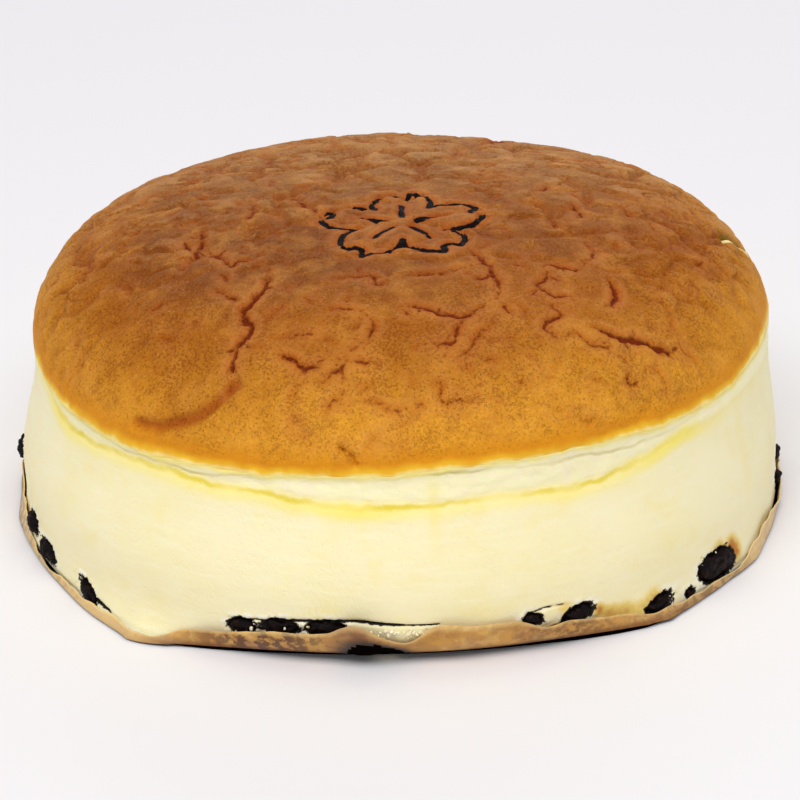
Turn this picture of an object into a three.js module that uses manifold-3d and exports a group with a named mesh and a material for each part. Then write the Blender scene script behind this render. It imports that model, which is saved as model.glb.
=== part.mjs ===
// A jiggly cotton cheesecake, 18 cm round, standing in its greased baking paper.
// Millimetres, +Z up. The origin is the centre of the paper's underside, and -Y is the front.

import * as THREE from 'three';
import { mergeVertices } from 'three/addons/utils/BufferGeometryUtils.js';
import Module from 'manifold-3d';

const manifoldLibrary = await Module();
manifoldLibrary.setup();

// ---------------------------------------------------------------- driving sizes

const CAKE_HEIGHT = 72.9; // floor to the crown of the dome
const CRUST_RADIUS = 86.5; // browned cap, at its lower edge
const CRUST_EDGE_HEIGHT = 43.1; // mean height of the cap's lower edge
const CAP_SHIFT = { x: 1.2, y: 2.5 }; // the cap has slumped a little off the foot's axis
const SHOULDER_POWER = 3.31; // squareness of the shoulder, seen from the side
const CROWN_POWER = 1.69; // fullness of the crown

const PAPER_THICKNESS = 0.5;
const CONTACT_GAP = 0.35; // between a raisin and its bed in the sponge
const PAPER_GAP = 0.8; // between the sponge's side and the baking paper
const CAKE_UNDERSIDE = 0.8; // on the paper, with the gap

const BELLY_RADIUS = 89.8; // widest ring of the sponge
const BELLY_HEIGHT = 14;
const FOOT_ROUNDING = 8; // height over which the foot turns under
const WAIST_RADIUS = 86.5; // sponge just below the crease
const NECK_INSET = 1.1; // neck band behind the cap's edge
const NECK_BULGE = 0.35; // soft roll in the middle of the neck band
const LIP_THICKNESS = 1.1; // cap's rolled lower edge

const AROUND = 96; // faces round every turned piece

// ---------------------------------------------------------------- small helpers

const degrees = (value) => (value * Math.PI) / 180;

// Sum of whole waves round the cake: each is [waves, amplitude, crest in degrees].
const waves = (angle, list) => list.reduce(
  (sum, [count, amplitude, crest]) => sum + amplitude * Math.cos(count * (angle - degrees(crest))),
  0,
);

// A smooth bump of height 1 at an azimuth, fading out over its spread, both in degrees.
function bumpAt(angle, azimuth, spread) {
  const turn = Math.atan2(Math.sin(angle - degrees(azimuth)), Math.cos(angle - degrees(azimuth)));
  return Math.exp(-((turn / degrees(spread)) ** 2));
}

const mix = (from, to, share) => from + (to - from) * share;

const smooth = (low, high, value) => {
  const share = Math.min(1, Math.max(0, (value - low) / (high - low)));
  return share * share * (3 - 2 * share);
};

// Repeatable draws between 0 and 1.
function seededDraws(seed) {
  let state = seed;
  return () => {
    state = (state + 0x6d2b79f5) | 0;
    let mixed = Math.imul(state ^ (state >>> 15), 1 | state);
    mixed = (mixed + Math.imul(mixed ^ (mixed >>> 7), 61 | mixed)) ^ mixed;
    return ((mixed ^ (mixed >>> 14)) >>> 0) / 4294967296;
  };
}

const point = (x, y, z) => new THREE.Vector3(x, y, z);

// A closed skin over stacked rings of equal length, closed by one pole at each end.
// Rings run counter-clockwise seen from above, from the lower pole up and round to the upper one.
function skinOverRings(lowerPole, rings, upperPole) {
  const count = rings[0].length;
  const vertices = [lowerPole, ...rings.flat(), upperPole];
  const last = vertices.length - 1;
  const at = (ring, step) => 1 + ring * count + (step % count);
  const faces = [];
  for (let step = 0; step < count; step += 1) {
    faces.push(0, at(0, step + 1), at(0, step));
    for (let ring = 0; ring + 1 < rings.length; ring += 1) {
      faces.push(at(ring, step), at(ring, step + 1), at(ring + 1, step + 1));
      faces.push(at(ring, step), at(ring + 1, step + 1), at(ring + 1, step));
    }
    faces.push(last, at(rings.length - 1, step), at(rings.length - 1, step + 1));
  }
  const geometry = new THREE.BufferGeometry();
  geometry.setAttribute('position', new THREE.Float32BufferAttribute(vertices.flatMap((v) => v.toArray()), 3));
  geometry.setIndex(faces);
  return geometry;
}

// One ring of points round the cake: place(angle) gives each point.
const ringOf = (place) => Array.from(
  { length: AROUND },
  (_, step) => place((step / AROUND) * Math.PI * 2),
);

function toSolid(geometry) {
  const merged = geometry.clone();
  merged.deleteAttribute('normal');
  merged.deleteAttribute('uv');
  const welded = mergeVertices(merged, 1e-4);
  const mesh = new manifoldLibrary.Mesh({
    numProp: 3,
    vertProperties: Float32Array.from(welded.attributes.position.array),
    triVerts: Uint32Array.from(welded.index.array),
  });
  return new manifoldLibrary.Manifold(mesh);
}

function toGeometry(solid) {
  const mesh = solid.getMesh();
  const geometry = new THREE.BufferGeometry();
  geometry.setAttribute('position', new THREE.Float32BufferAttribute(mesh.vertProperties, 3));
  geometry.setIndex(Array.from(mesh.triVerts));
  return geometry;
}

// ---------------------------------------------------------------- outline of the foot

// The baking paper was folded up along the front, so the foot is a flatter arc there,
// which meets the round of the tin at two corners.
const FRONT_ARC_RADIUS = 215;
const FRONT_REACH = 83.7; // from the axis to the middle of the front arc
const ROUND_REACH = 91.7;
const PAPER_CORNERS = [
  { azimuth: -130, spread: 11, reach: 4.6 }, // sharp corner, front left
  { azimuth: -50, spread: 17, reach: 2.2 }, // blunter corner, front right
  { azimuth: 172, spread: 9, reach: 2.0 }, // left edge, standing out
];
const ROUND_WAVES = [[3, 0.35, 20], [7, 0.3, 65]];

function frontReach(angle) {
  const back = FRONT_ARC_RADIUS - FRONT_REACH; // the arc's centre lies behind the cake's axis
  const forward = -Math.sin(angle);
  const underRoot = FRONT_ARC_RADIUS ** 2 - back ** 2 * (1 - forward ** 2);
  return Math.sqrt(underRoot) - back * forward;
}

function paperReach(angle) {
  const corners = PAPER_CORNERS.reduce(
    (sum, corner) => sum + corner.reach * bumpAt(angle, corner.azimuth, corner.spread),
    0,
  );
  const round = ROUND_REACH + corners + waves(angle, ROUND_WAVES);
  return Math.sin(angle) < 0 ? Math.min(round, frontReach(angle)) : round;
}

const PAPER_OUTSIDE_FOOT = 1.0;
const footRadius = (angle) => paperReach(angle) - PAPER_OUTSIDE_FOOT;

// ---------------------------------------------------------------- cap of browned crust

const EDGE_WAVES = [[1, 1.6, 111], [2, 1.89, -17], [3, 1.99, 33]]; // the cap's lower edge rises and dips
const RIM_WAVES = [[2, 0.2, 40], [3, 0.25, -50], [5, 0.2, 10]]; // the cap isn't quite round

const edgeHeight = (angle) => CRUST_EDGE_HEIGHT + waves(angle, EDGE_WAVES);
const rimRadius = (angle) => CRUST_RADIUS + waves(angle, RIM_WAVES);

// Soft hollows and swells that the crust sank into as it cooled: [x, y, spread, height].
const SWELLS = [
  [-46, -62, 9, -1.4],
  [-34, -50, 8, -0.8],
  [-20, -60, 14, 0.7],
  [20, -50, 8, -0.7],
  [33, -56, 14, 0.6],
  [54, -50, 7, -0.8],
  [-45, -22, 9, -0.7],
  [44, -10, 9, -0.5],
  [-62, 22, 20, 0.8],
  [24, 46, 16, -0.8],
  [-14, 52, 18, 0.7],
  [60, 30, 16, 0.6],
];

const swell = (x, y) => SWELLS.reduce(
  (sum, [atX, atY, spread, height]) => sum
    + height * Math.exp(-((x - atX) ** 2 + (y - atY) ** 2) / (2 * spread ** 2)),
  0,
);

function capPoint(angle, latitude) {
  const radius = rimRadius(angle) * Math.cos(latitude) ** (2 / SHOULDER_POWER);
  const rise = Math.sin(latitude) ** (2 / CROWN_POWER);
  const x = CAP_SHIFT.x + radius * Math.cos(angle);
  const y = CAP_SHIFT.y + radius * Math.sin(angle);
  const z = mix(edgeHeight(angle), CAKE_HEIGHT, rise) + swell(x, y) * Math.min(1, 2 * rise);
  return point(x, y, z);
}

// Height of the crust's surface over a point of the plan.
function capHeight(x, y) {
  const angle = Math.atan2(y - CAP_SHIFT.y, x - CAP_SHIFT.x);
  const share = Math.min(1, Math.hypot(x - CAP_SHIFT.x, y - CAP_SHIFT.y) / rimRadius(angle));
  const latitude = Math.acos(share ** (SHOULDER_POWER / 2));
  return capPoint(angle, latitude).z;
}

// ---------------------------------------------------------------- sponge below the crust

const CREASE_DROP = 4.8; // crease below the cap's edge, deeper in front
const CREASE_FRONT_DROP = 3.0;
const CREASE_WAVES = [[5, 0.7, -60], [9, 0.5, 15], [13, 0.35, 40]];
const CREASE_WIDTH = 1.3;

const creaseHeight = (angle) => edgeHeight(angle) - CREASE_DROP
  - CREASE_FRONT_DROP * bumpAt(angle, -83, 30) - waves(angle, CREASE_WAVES);

// The rings of the sponge's side below the crease, as heights over the floor.
const SIDE_HEIGHTS = [1.5, 3, 5.2, 8, BELLY_HEIGHT, 24];
const NECK_RINGS = 3;

function bellyRadius(height) {
  const share = smooth(BELLY_HEIGHT, CRUST_EDGE_HEIGHT - CREASE_DROP, height);
  return mix(BELLY_RADIUS, WAIST_RADIUS, share);
}

// The side leans with the slumped cap: its rings shift sideways as they rise.
function sidePoint(angle, height) {
  const turned = Math.min(1, Math.max(0, (height - CAKE_UNDERSIDE) / FOOT_ROUNDING));
  const rounding = Math.sqrt(1 - (1 - turned) ** 2);
  const radius = mix(footRadius(angle), bellyRadius(height), rounding);
  const lean = smooth(BELLY_HEIGHT, CRUST_EDGE_HEIGHT, height);
  return point(
    lean * CAP_SHIFT.x + radius * Math.cos(angle),
    lean * CAP_SHIFT.y + radius * Math.sin(angle),
    height,
  );
}

// The pale neck between crease and crust, behind the cap's overhanging lip.
function neckPoint(angle, share) {
  const bulge = NECK_BULGE * Math.sin(Math.PI * share);
  const radius = rimRadius(angle) - NECK_INSET + bulge;
  const height = mix(creaseHeight(angle) + CREASE_WIDTH / 2, edgeHeight(angle) - 0.3, share);
  return point(CAP_SHIFT.x + radius * Math.cos(angle), CAP_SHIFT.y + radius * Math.sin(angle), height);
}

function lipPoint(angle, inset, drop) {
  const radius = rimRadius(angle) - inset;
  return point(
    CAP_SHIFT.x + radius * Math.cos(angle),
    CAP_SHIFT.y + radius * Math.sin(angle),
    edgeHeight(angle) - drop,
  );
}

const CAP_LATITUDES = [4, 12, 21, 31, 42, 54, 66, 76, 84];

function bakedBody() {
  const rings = [
    ringOf((angle) => point(0.5 * footRadius(angle) * Math.cos(angle),
      0.5 * footRadius(angle) * Math.sin(angle), CAKE_UNDERSIDE)),
    ringOf((angle) => sidePoint(angle, CAKE_UNDERSIDE)),
  ];
  SIDE_HEIGHTS.forEach((height) => rings.push(ringOf((angle) => sidePoint(angle, height))));
  rings.push(ringOf((angle) => sidePoint(angle, creaseHeight(angle) - CREASE_WIDTH / 2)));
  for (let ring = 0; ring < NECK_RINGS; ring += 1) {
    rings.push(ringOf((angle) => neckPoint(angle, ring / (NECK_RINGS - 1))));
  }
  rings.push(ringOf((angle) => lipPoint(angle, LIP_THICKNESS * 0.6, LIP_THICKNESS * 0.5)));
  rings.push(ringOf((angle) => lipPoint(angle, 0, 0)));
  CAP_LATITUDES.forEach((latitude) => rings.push(ringOf((angle) => capPoint(angle, degrees(latitude)))));
  const crown = point(CAP_SHIFT.x, CAP_SHIFT.y, capHeight(CAP_SHIFT.x, CAP_SHIFT.y));
  return skinOverRings(point(0, 0, CAKE_UNDERSIDE), rings, crown);
}

// ---------------------------------------------------------------- cracks and burnt-in blossom

const CRACK_STEP = 3.2; // length of one faceted stretch of a crack
const CRACK_WANDER = 0.5; // sideways wander of a crack
const CRACK_OVERSHOOT = 1.2; // the cutter's ridge over the surface

// Cracks in the crust as plan points: the widest ones, drawn with their width and depth.
const CRACKS = [
  { width: 1.9, depth: 1.3, path: [[-28, -37], [-28, -44], [-33, -49], [-31, -56], [-34, -62], [-36, -67]] },
  { width: 1.2, depth: 0.8, path: [[-39, -39], [-34, -46]] },
  { width: 2.4, depth: 0.9, path: [[-35, -69], [-41, -68], [-48, -65], [-54, -62]] },
  { width: 1.5, depth: 1.0, path: [[-43, -9], [-44, -24], [-39, -26], [-35, -31], [-29, -28]] },
  { width: 1.3, depth: 0.9, path: [[-49, -13], [-46, -21], [-49, -27]] },
  { width: 1.2, depth: 0.8, path: [[-32, 0], [-33, -8]] },
  { width: 1.3, depth: 0.9, path: [[18, -36], [21, -42], [22, -50], [19, -54], [14, -58], [9, -58]] },
  { width: 1.2, depth: 0.8, path: [[14, -60], [13, -65]] },
  { width: 1.6, depth: 1.0, path: [[38, -39], [33, -38], [32, -46], [35, -50]] },
  { width: 1.2, depth: 0.8, path: [[44, -28], [42, -37]] },
  { width: 1.2, depth: 0.8, path: [[45, -40], [48, -45], [45, -50]] },
  { width: 1.2, depth: 0.8, path: [[38, -53], [32, -60]] },
  { width: 1.8, depth: 1.1, path: [[41, -57], [48, -57], [56, -55], [61, -51]] },
  { width: 1.4, depth: 0.9, path: [[34, -62], [42, -62], [50, -64]] },
  { width: 1.3, depth: 0.8, path: [[41, -3], [43, -14]] },
  { width: 1.2, depth: 0.8, path: [[10, -72], [9, -77], [18, -76]] },
  { width: 1.2, depth: 0.7, path: [[-9, -76], [-3, -77], [3, -79]] },
  { width: 1.3, depth: 0.8, path: [[-27, -63], [-20, -68]] },
];

// Unit vectors on the crust at a plan point: outwards, and along the crack's plan direction.
function crustFrame(x, y, alongX, alongY) {
  const reach = 0.5;
  const slopeX = (capHeight(x + reach, y) - capHeight(x - reach, y)) / (2 * reach);
  const slopeY = (capHeight(x, y + reach) - capHeight(x, y - reach)) / (2 * reach);
  const outward = point(-slopeX, -slopeY, 1).normalize();
  const along = point(alongX, alongY, alongX * slopeX + alongY * slopeY).normalize();
  return { outward, across: along.clone().cross(outward).normalize() };
}

// A diamond-section cutter that follows plan points over the crust. It tapers to a point at
// both ends, or closes on itself when the path is a loop.
function grooveCutter(planPoints, width, depth, closed) {
  const count = planPoints.length;
  const rings = planPoints.map((place, index) => {
    const before = planPoints[closed ? (index + count - 1) % count : Math.max(0, index - 1)];
    const after = planPoints[closed ? (index + 1) % count : Math.min(count - 1, index + 1)];
    const frame = crustFrame(place.x, place.y, after.x - before.x, after.y - before.y);
    const share = index / (count - 1);
    const taper = closed ? 1 : 0.35 + 0.65 * Math.sin(Math.PI * share) ** 0.7;
    const centre = point(place.x, place.y, capHeight(place.x, place.y));
    const move = (side, lift) => centre.clone()
      .addScaledVector(frame.across, side)
      .addScaledVector(frame.outward, lift);
    const half = 0.5 * width * taper;
    return [
      move(0, -depth * taper),
      move(half * 1.4, CRACK_OVERSHOOT * 0.4),
      move(0, CRACK_OVERSHOOT),
      move(-half * 1.4, CRACK_OVERSHOOT * 0.4),
    ];
  });
  const vertices = rings.flat();
  const faces = [];
  const stretches = closed ? count : count - 1;
  for (let ring = 0; ring < stretches; ring += 1) {
    const here = ring * 4;
    const next = ((ring + 1) % count) * 4;
    for (let side = 0; side < 4; side += 1) {
      const turn = (side + 1) % 4;
      faces.push(here + side, next + turn, here + turn, here + side, next + side, next + turn);
    }
  }
  if (!closed) {
    const end = (count - 1) * 4;
    faces.push(0, 1, 2, 0, 2, 3, end, end + 2, end + 1, end, end + 3, end + 2);
  }
  const geometry = new THREE.BufferGeometry();
  geometry.setAttribute('position', new THREE.Float32BufferAttribute(vertices.flatMap((v) => v.toArray()), 3));
  geometry.setIndex(faces);
  return toSolid(geometry);
}

function crackCutters() {
  const draw = seededDraws(11);
  return CRACKS.map(({ width, depth, path }) => {
    const curve = new THREE.CatmullRomCurve3(path.map(([x, y]) => point(x, y, 0)), false, 'centripetal');
    const steps = Math.max(2, Math.round(curve.getLength() / CRACK_STEP));
    const places = curve.getSpacedPoints(steps).map((place) => point(
      place.x + CRACK_WANDER * (2 * draw() - 1),
      place.y + CRACK_WANDER * (2 * draw() - 1),
      0,
    ));
    return grooveCutter(places, width, depth, false);
  });
}

// A plain five-petalled blossom pressed into the crown with a hot iron.
const BLOSSOM = {
  x: 2, y: -17, radius: 19, petals: 5, notch: 2.4, waist: 9, eye: 3.4,
  lineWidth: 1.3, lineDepth: 0.9, stepsPerPetal: 10,
};

// Distance from the blossom's centre to its outline: full round petals, each notched at its tip.
function blossomReach(angle) {
  const petal = Math.abs(Math.cos((BLOSSOM.petals / 2) * angle));
  const body = BLOSSOM.radius - BLOSSOM.waist * (1 - petal ** 0.7);
  return body - BLOSSOM.notch * smooth(0.95, 1, petal);
}

function blossomCutters() {
  const { x, y, petals, stepsPerPetal, eye, radius, lineWidth, lineDepth } = BLOSSOM;
  const upright = Math.PI / 2;
  const place = (angle, reach) => point(
    x + reach * Math.cos(angle + upright),
    y + reach * Math.sin(angle + upright),
    0,
  );
  const steps = petals * stepsPerPetal;
  const outline = Array.from({ length: steps }, (_, step) => {
    const angle = (step / steps) * Math.PI * 2;
    return place(angle, blossomReach(angle));
  });
  const cutters = [grooveCutter(outline, lineWidth, lineDepth, true)];
  for (let petal = 0; petal < petals; petal += 1) {
    const angle = (petal / petals) * Math.PI * 2;
    const stamen = [eye, radius * 0.4, radius * 0.56].map((reach) => place(angle, reach));
    cutters.push(grooveCutter(stamen, lineWidth, lineDepth, false));
  }
  return cutters;
}

// ---------------------------------------------------------------- raisins round the foot

// Raisins that sank to the foot: azimuth in degrees, height, then half the length, height and
// thickness. Lean tips the length, in degrees, from level.
const RAISINS = [
  { azimuth: -174.5, height: 15.4, half: [2.6, 3.6, 2.6], lean: 0, proud: 1.7 },
  { azimuth: -161, height: 5.9, half: [4.0, 2.6, 2.6], lean: -5, proud: 1.9 },
  { azimuth: -153.8, height: 3.8, half: [4.8, 2.3, 2.4], lean: -6, proud: 1.4 },
  { azimuth: -140.5, height: 3.8, half: [3.8, 1.8, 2.2], lean: -30, proud: 0.8 },
  { azimuth: -112.6, height: 7.1, half: [3.1, 2.2, 2.2], lean: 5, proud: 0.8 },
  { azimuth: -107, height: 8.4, half: [3.9, 1.9, 2.2], lean: -3, proud: 0.8 },
  { azimuth: -100.3, height: 8.8, half: [4.6, 2.1, 2.3], lean: 1, proud: 0.9 },
  { azimuth: -72.6, height: 8.2, half: [2.2, 1.6, 2.0], lean: -10, proud: 0.8 },
  { azimuth: -66, height: 7.1, half: [3.8, 2.3, 2.3], lean: 12, proud: 0.9 },
  { azimuth: -52.9, height: 3.9, half: [4.1, 1.8, 2.2], lean: 15, proud: 0.8 },
  { azimuth: -46.6, height: 2.9, half: [1.5, 1.3, 1.6], lean: 0, proud: 0.6 },
  { azimuth: -39.8, height: 4.6, half: [6.8, 3.5, 2.8], lean: -6, proud: 1.6 },
  { azimuth: -9.5, height: 4.4, half: [2.6, 2.7, 2.4], lean: 0, proud: 1.4 },
  { azimuth: -2, height: 5.5, half: [2.4, 2.8, 2.8], lean: 10, proud: 2.2 },
];

// The far side carries the same kind of raisins, spread unevenly by seeded draws.
const BACK_RAISINS = { count: 8, from: 24, to: 146, seed: 29 };

function backRaisins() {
  const draw = seededDraws(BACK_RAISINS.seed);
  const spacing = (BACK_RAISINS.to - BACK_RAISINS.from) / (BACK_RAISINS.count - 1);
  return Array.from({ length: BACK_RAISINS.count }, (_, index) => {
    const length = mix(2.4, 4.6, draw());
    const tall = mix(1.9, 2.6, draw());
    return {
      azimuth: BACK_RAISINS.from + spacing * (index + 0.5 * (draw() - 0.5)),
      height: tall + mix(2.6, 5.4, draw()),
      half: [length, tall, 2.2],
      lean: mix(-30, 30, draw()),
      proud: mix(0.7, 1.2, draw()),
    };
  });
}

const ALL_RAISINS = [...RAISINS, ...backRaisins()];
const WRINKLE_DEPTH = 0.13; // share of the raisin's size

// A wrinkled oval, of 80 faces, grown evenly by some clearance.
function raisinGeometry(raisin, index, clearance) {
  const oval = new THREE.IcosahedronGeometry(1, 1);
  oval.deleteAttribute('normal');
  oval.deleteAttribute('uv');
  const welded = mergeVertices(oval, 1e-4);
  const places = welded.attributes.position;
  for (let vertex = 0; vertex < places.count; vertex += 1) {
    const direction = point(places.getX(vertex), places.getY(vertex), places.getZ(vertex));
    const wrinkle = Math.sin(5 * direction.x + 3 * direction.y + index)
      * Math.cos(4 * direction.y - 3 * direction.z + 2 * index);
    const scale = 1 + WRINKLE_DEPTH * wrinkle;
    places.setXYZ(
      vertex,
      direction.x * (raisin.half[0] * scale + clearance),
      direction.y * (raisin.half[1] * scale + clearance),
      direction.z * (raisin.half[2] * scale + clearance),
    );
  }
  return welded;
}

// Where a raisin sits: its length lies along the side and its thickness points outwards.
function raisinPlacement(raisin) {
  const angle = degrees(raisin.azimuth);
  const surface = sidePoint(angle, raisin.height);
  const inward = raisin.half[2] - raisin.proud;
  const outward = point(Math.cos(angle), Math.sin(angle), 0);
  const around = point(-Math.sin(angle), Math.cos(angle), 0);
  const turn = new THREE.Matrix4().makeBasis(around, point(0, 0, 1), outward);
  const placement = new THREE.Matrix4().makeRotationZ(degrees(raisin.lean)).premultiply(turn);
  return placement.setPosition(surface.addScaledVector(outward, -inward));
}

// ---------------------------------------------------------------- baking paper

const PAPER_RISE = 2.4; // mean height of the turned-up edge
const PAPER_WAVES = [[5, 0.6, 30], [8, 0.6, 75], [13, 0.4, 140]];
// Folds and dips of the turned-up edge: azimuth and spread in degrees, and height.
const PAPER_FOLDS = [
  { azimuth: -130, spread: 8, rise: -1.5 }, // pressed flat at the sharp corner
  { azimuth: -106, spread: 13, rise: 5.0 }, // turned up higher along the front
  { azimuth: -95.5, spread: 3, rise: 3.4 }, // pointed fold
  { azimuth: -90.5, spread: 2.6, rise: -2.0 }, // slack beside it
  { azimuth: -80, spread: 15, rise: 6.0 }, // stiff flap
  { azimuth: -50, spread: 8, rise: -1.2 }, // pressed flat at the blunt corner
  { azimuth: -27, spread: 5, rise: 1.6 }, // small fold
  { azimuth: 170, spread: 8, rise: 1.6 }, // left edge, standing out
];
const LEAST_RISE = 2;
const RAISIN_CLEARANCE = 0.6; // the edge runs below each raisin
const PAPER_SLOPE = 0.8; // and climbs away from it this steeply

function paperRise(angle) {
  const folds = PAPER_FOLDS.reduce(
    (sum, fold) => sum + fold.rise * bumpAt(angle, fold.azimuth, fold.spread),
    0,
  );
  let rise = PAPER_RISE + waves(angle, PAPER_WAVES) + folds;
  ALL_RAISINS.forEach((raisin) => {
    const halfHeight = Math.hypot(
      raisin.half[0] * Math.sin(degrees(raisin.lean)),
      raisin.half[1] * Math.cos(degrees(raisin.lean)),
    );
    const underside = raisin.height - 1.15 * halfHeight - RAISIN_CLEARANCE;
    const spread = (raisin.half[0] + 1.5) / BELLY_RADIUS;
    const turn = Math.atan2(
      Math.sin(angle - degrees(raisin.azimuth)),
      Math.cos(angle - degrees(raisin.azimuth)),
    );
    const away = Math.max(0, Math.abs(turn) - spread) * BELLY_RADIUS;
    rise = Math.min(rise, underside + PAPER_SLOPE * away);
  });
  return Math.max(LEAST_RISE, rise);
}

// The sponge's faceted side between its own rings, so that the paper follows it closely.
function facetedReach(angle, height) {
  const heights = [CAKE_UNDERSIDE, ...SIDE_HEIGHTS];
  const above = Math.max(1, heights.findIndex((level) => level >= height));
  const [low, high] = [heights[above - 1], heights[above]];
  const share = (height - low) / (high - low);
  const reach = (level) => Math.hypot(sidePoint(angle, level).x, sidePoint(angle, level).y);
  return mix(reach(low), reach(high), share);
}

const PAPER_LEVELS = [0, 0.5, 1]; // rings of the turned-up edge, from its bend to its rim
const PAPER_SLACK = 0.25; // the edge stands off a little between bend and rim

function bakingPaper() {
  const around = (angle, radius, height) => point(radius * Math.cos(angle), radius * Math.sin(angle), height);
  const wallHeight = (angle, share) => mix(SIDE_HEIGHTS[0], paperRise(angle), share);
  const wall = (share, offset) => ringOf((angle) => {
    const height = wallHeight(angle, share);
    const gap = PAPER_GAP + PAPER_SLACK * Math.sin(Math.PI * share);
    return around(angle, facetedReach(angle, height) + gap + offset, height);
  });
  const floorRing = (offset, height) => ringOf(
    (angle) => around(angle, facetedReach(angle, CAKE_UNDERSIDE) + offset, height),
  );
  const outside = [
    floorRing(PAPER_GAP + 0.6 * PAPER_THICKNESS, 0),
    floorRing(PAPER_GAP + PAPER_THICKNESS, CAKE_UNDERSIDE),
  ];
  PAPER_LEVELS.forEach((share) => outside.push(wall(share, PAPER_THICKNESS)));
  const inside = [...PAPER_LEVELS].reverse().map((share) => wall(share, 0));
  inside.push(floorRing(PAPER_GAP, CAKE_UNDERSIDE));
  inside.push(floorRing(0, PAPER_THICKNESS));
  return skinOverRings(point(0, 0, 0), [...outside, ...inside], point(0, 0, PAPER_THICKNESS));
}

// ---------------------------------------------------------------- assembly

// A torn notch in the cap's rim, right rear, that bares the crumb.
const TEAR = { x: 82.5, y: 5.5, height: 55, radii: [3.2, 3.6, 2.6] };

function tearCutter() {
  const notch = new THREE.SphereGeometry(1, 12, 8);
  notch.scale(...TEAR.radii);
  notch.translate(TEAR.x, TEAR.y, TEAR.height);
  return toSolid(notch);
}

// The cake as one solid: the baked body, less its cracks, its blossom, the tear and the raisins' beds.
function cakeGeometry() {
  const beds = ALL_RAISINS.map((raisin, index) => {
    const bed = raisinGeometry(raisin, index, CONTACT_GAP);
    return toSolid(bed.applyMatrix4(raisinPlacement(raisin)));
  });
  const cutters = [...crackCutters(), ...blossomCutters(), tearCutter(), ...beds];
  const cut = cutters.reduce((body, cutter) => body.subtract(cutter), toSolid(bakedBody()));
  const bodies = cut.decompose();
  const largest = bodies.reduce((best, body) => (body.volume() > best.volume() ? body : best));
  return toGeometry(largest);
}

const spongeMaterial = new THREE.MeshStandardMaterial({ color: 0xf7ecb6, roughness: 0.75, metalness: 0 });
const paperMaterial = new THREE.MeshStandardMaterial({ color: 0xb98b43, roughness: 0.5, metalness: 0 });
const raisinMaterial = new THREE.MeshStandardMaterial({ color: 0x21100c, roughness: 0.45, metalness: 0 });

function named(name, geometry, material) {
  const mesh = new THREE.Mesh(geometry, material);
  mesh.name = name;
  return mesh;
}

const cheesecake = new THREE.Group();
cheesecake.add(named('cake', cakeGeometry(), spongeMaterial));
cheesecake.add(named('liner', bakingPaper(), paperMaterial));
ALL_RAISINS.forEach((raisin, index) => {
  const name = `raisin_${String(index + 1).padStart(2, '0')}`;
  const mesh = named(name, raisinGeometry(raisin, index, 0), raisinMaterial);
  mesh.applyMatrix4(raisinPlacement(raisin));
  cheesecake.add(mesh);
});

export default cheesecake;
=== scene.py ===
# A jiggly cotton cheesecake, 18 cm round: browned crust over pale sponge, raisins round its foot,
# standing in greased baking paper. Lengths are millimetres, and become metres where a mesh is made.

import math

import bpy
import numpy as np
from mathutils import Matrix, Vector


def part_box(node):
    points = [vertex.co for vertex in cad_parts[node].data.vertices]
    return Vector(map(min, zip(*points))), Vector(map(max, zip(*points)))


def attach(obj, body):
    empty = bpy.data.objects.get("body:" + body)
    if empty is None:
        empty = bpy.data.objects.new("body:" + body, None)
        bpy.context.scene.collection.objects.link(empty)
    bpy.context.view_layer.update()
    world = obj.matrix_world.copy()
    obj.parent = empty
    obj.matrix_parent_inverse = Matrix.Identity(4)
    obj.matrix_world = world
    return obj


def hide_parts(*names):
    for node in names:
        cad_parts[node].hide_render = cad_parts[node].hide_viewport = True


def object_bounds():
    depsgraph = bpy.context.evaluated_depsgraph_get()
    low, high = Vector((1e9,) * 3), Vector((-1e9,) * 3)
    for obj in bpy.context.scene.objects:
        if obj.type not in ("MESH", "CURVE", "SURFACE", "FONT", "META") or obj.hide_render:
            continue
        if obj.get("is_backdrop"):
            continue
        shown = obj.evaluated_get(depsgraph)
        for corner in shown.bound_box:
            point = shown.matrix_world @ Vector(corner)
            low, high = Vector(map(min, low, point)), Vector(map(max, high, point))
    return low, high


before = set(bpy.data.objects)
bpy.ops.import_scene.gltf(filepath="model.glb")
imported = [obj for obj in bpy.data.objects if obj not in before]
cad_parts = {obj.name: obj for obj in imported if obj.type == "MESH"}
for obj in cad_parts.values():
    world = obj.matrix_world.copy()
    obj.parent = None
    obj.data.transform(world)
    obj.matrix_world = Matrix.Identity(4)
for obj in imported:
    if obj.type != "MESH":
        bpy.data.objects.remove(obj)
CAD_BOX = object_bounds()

MM = 0.001

# ---------------------------------------------------------------- driving sizes, as in the solids

CAKE_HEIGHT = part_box("cake")[1].z / MM
CRUST_RADIUS = 86.5
CRUST_EDGE_HEIGHT = 43.1
CAP_SHIFT = (1.2, 2.5)
SHOULDER_POWER = 3.31
CROWN_POWER = 1.69
CAKE_UNDERSIDE = 0.8
BELLY_RADIUS = 89.8
BELLY_HEIGHT = 14
FOOT_ROUNDING = 8
WAIST_RADIUS = 86.5
CREASE_DROP = 4.8

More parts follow.
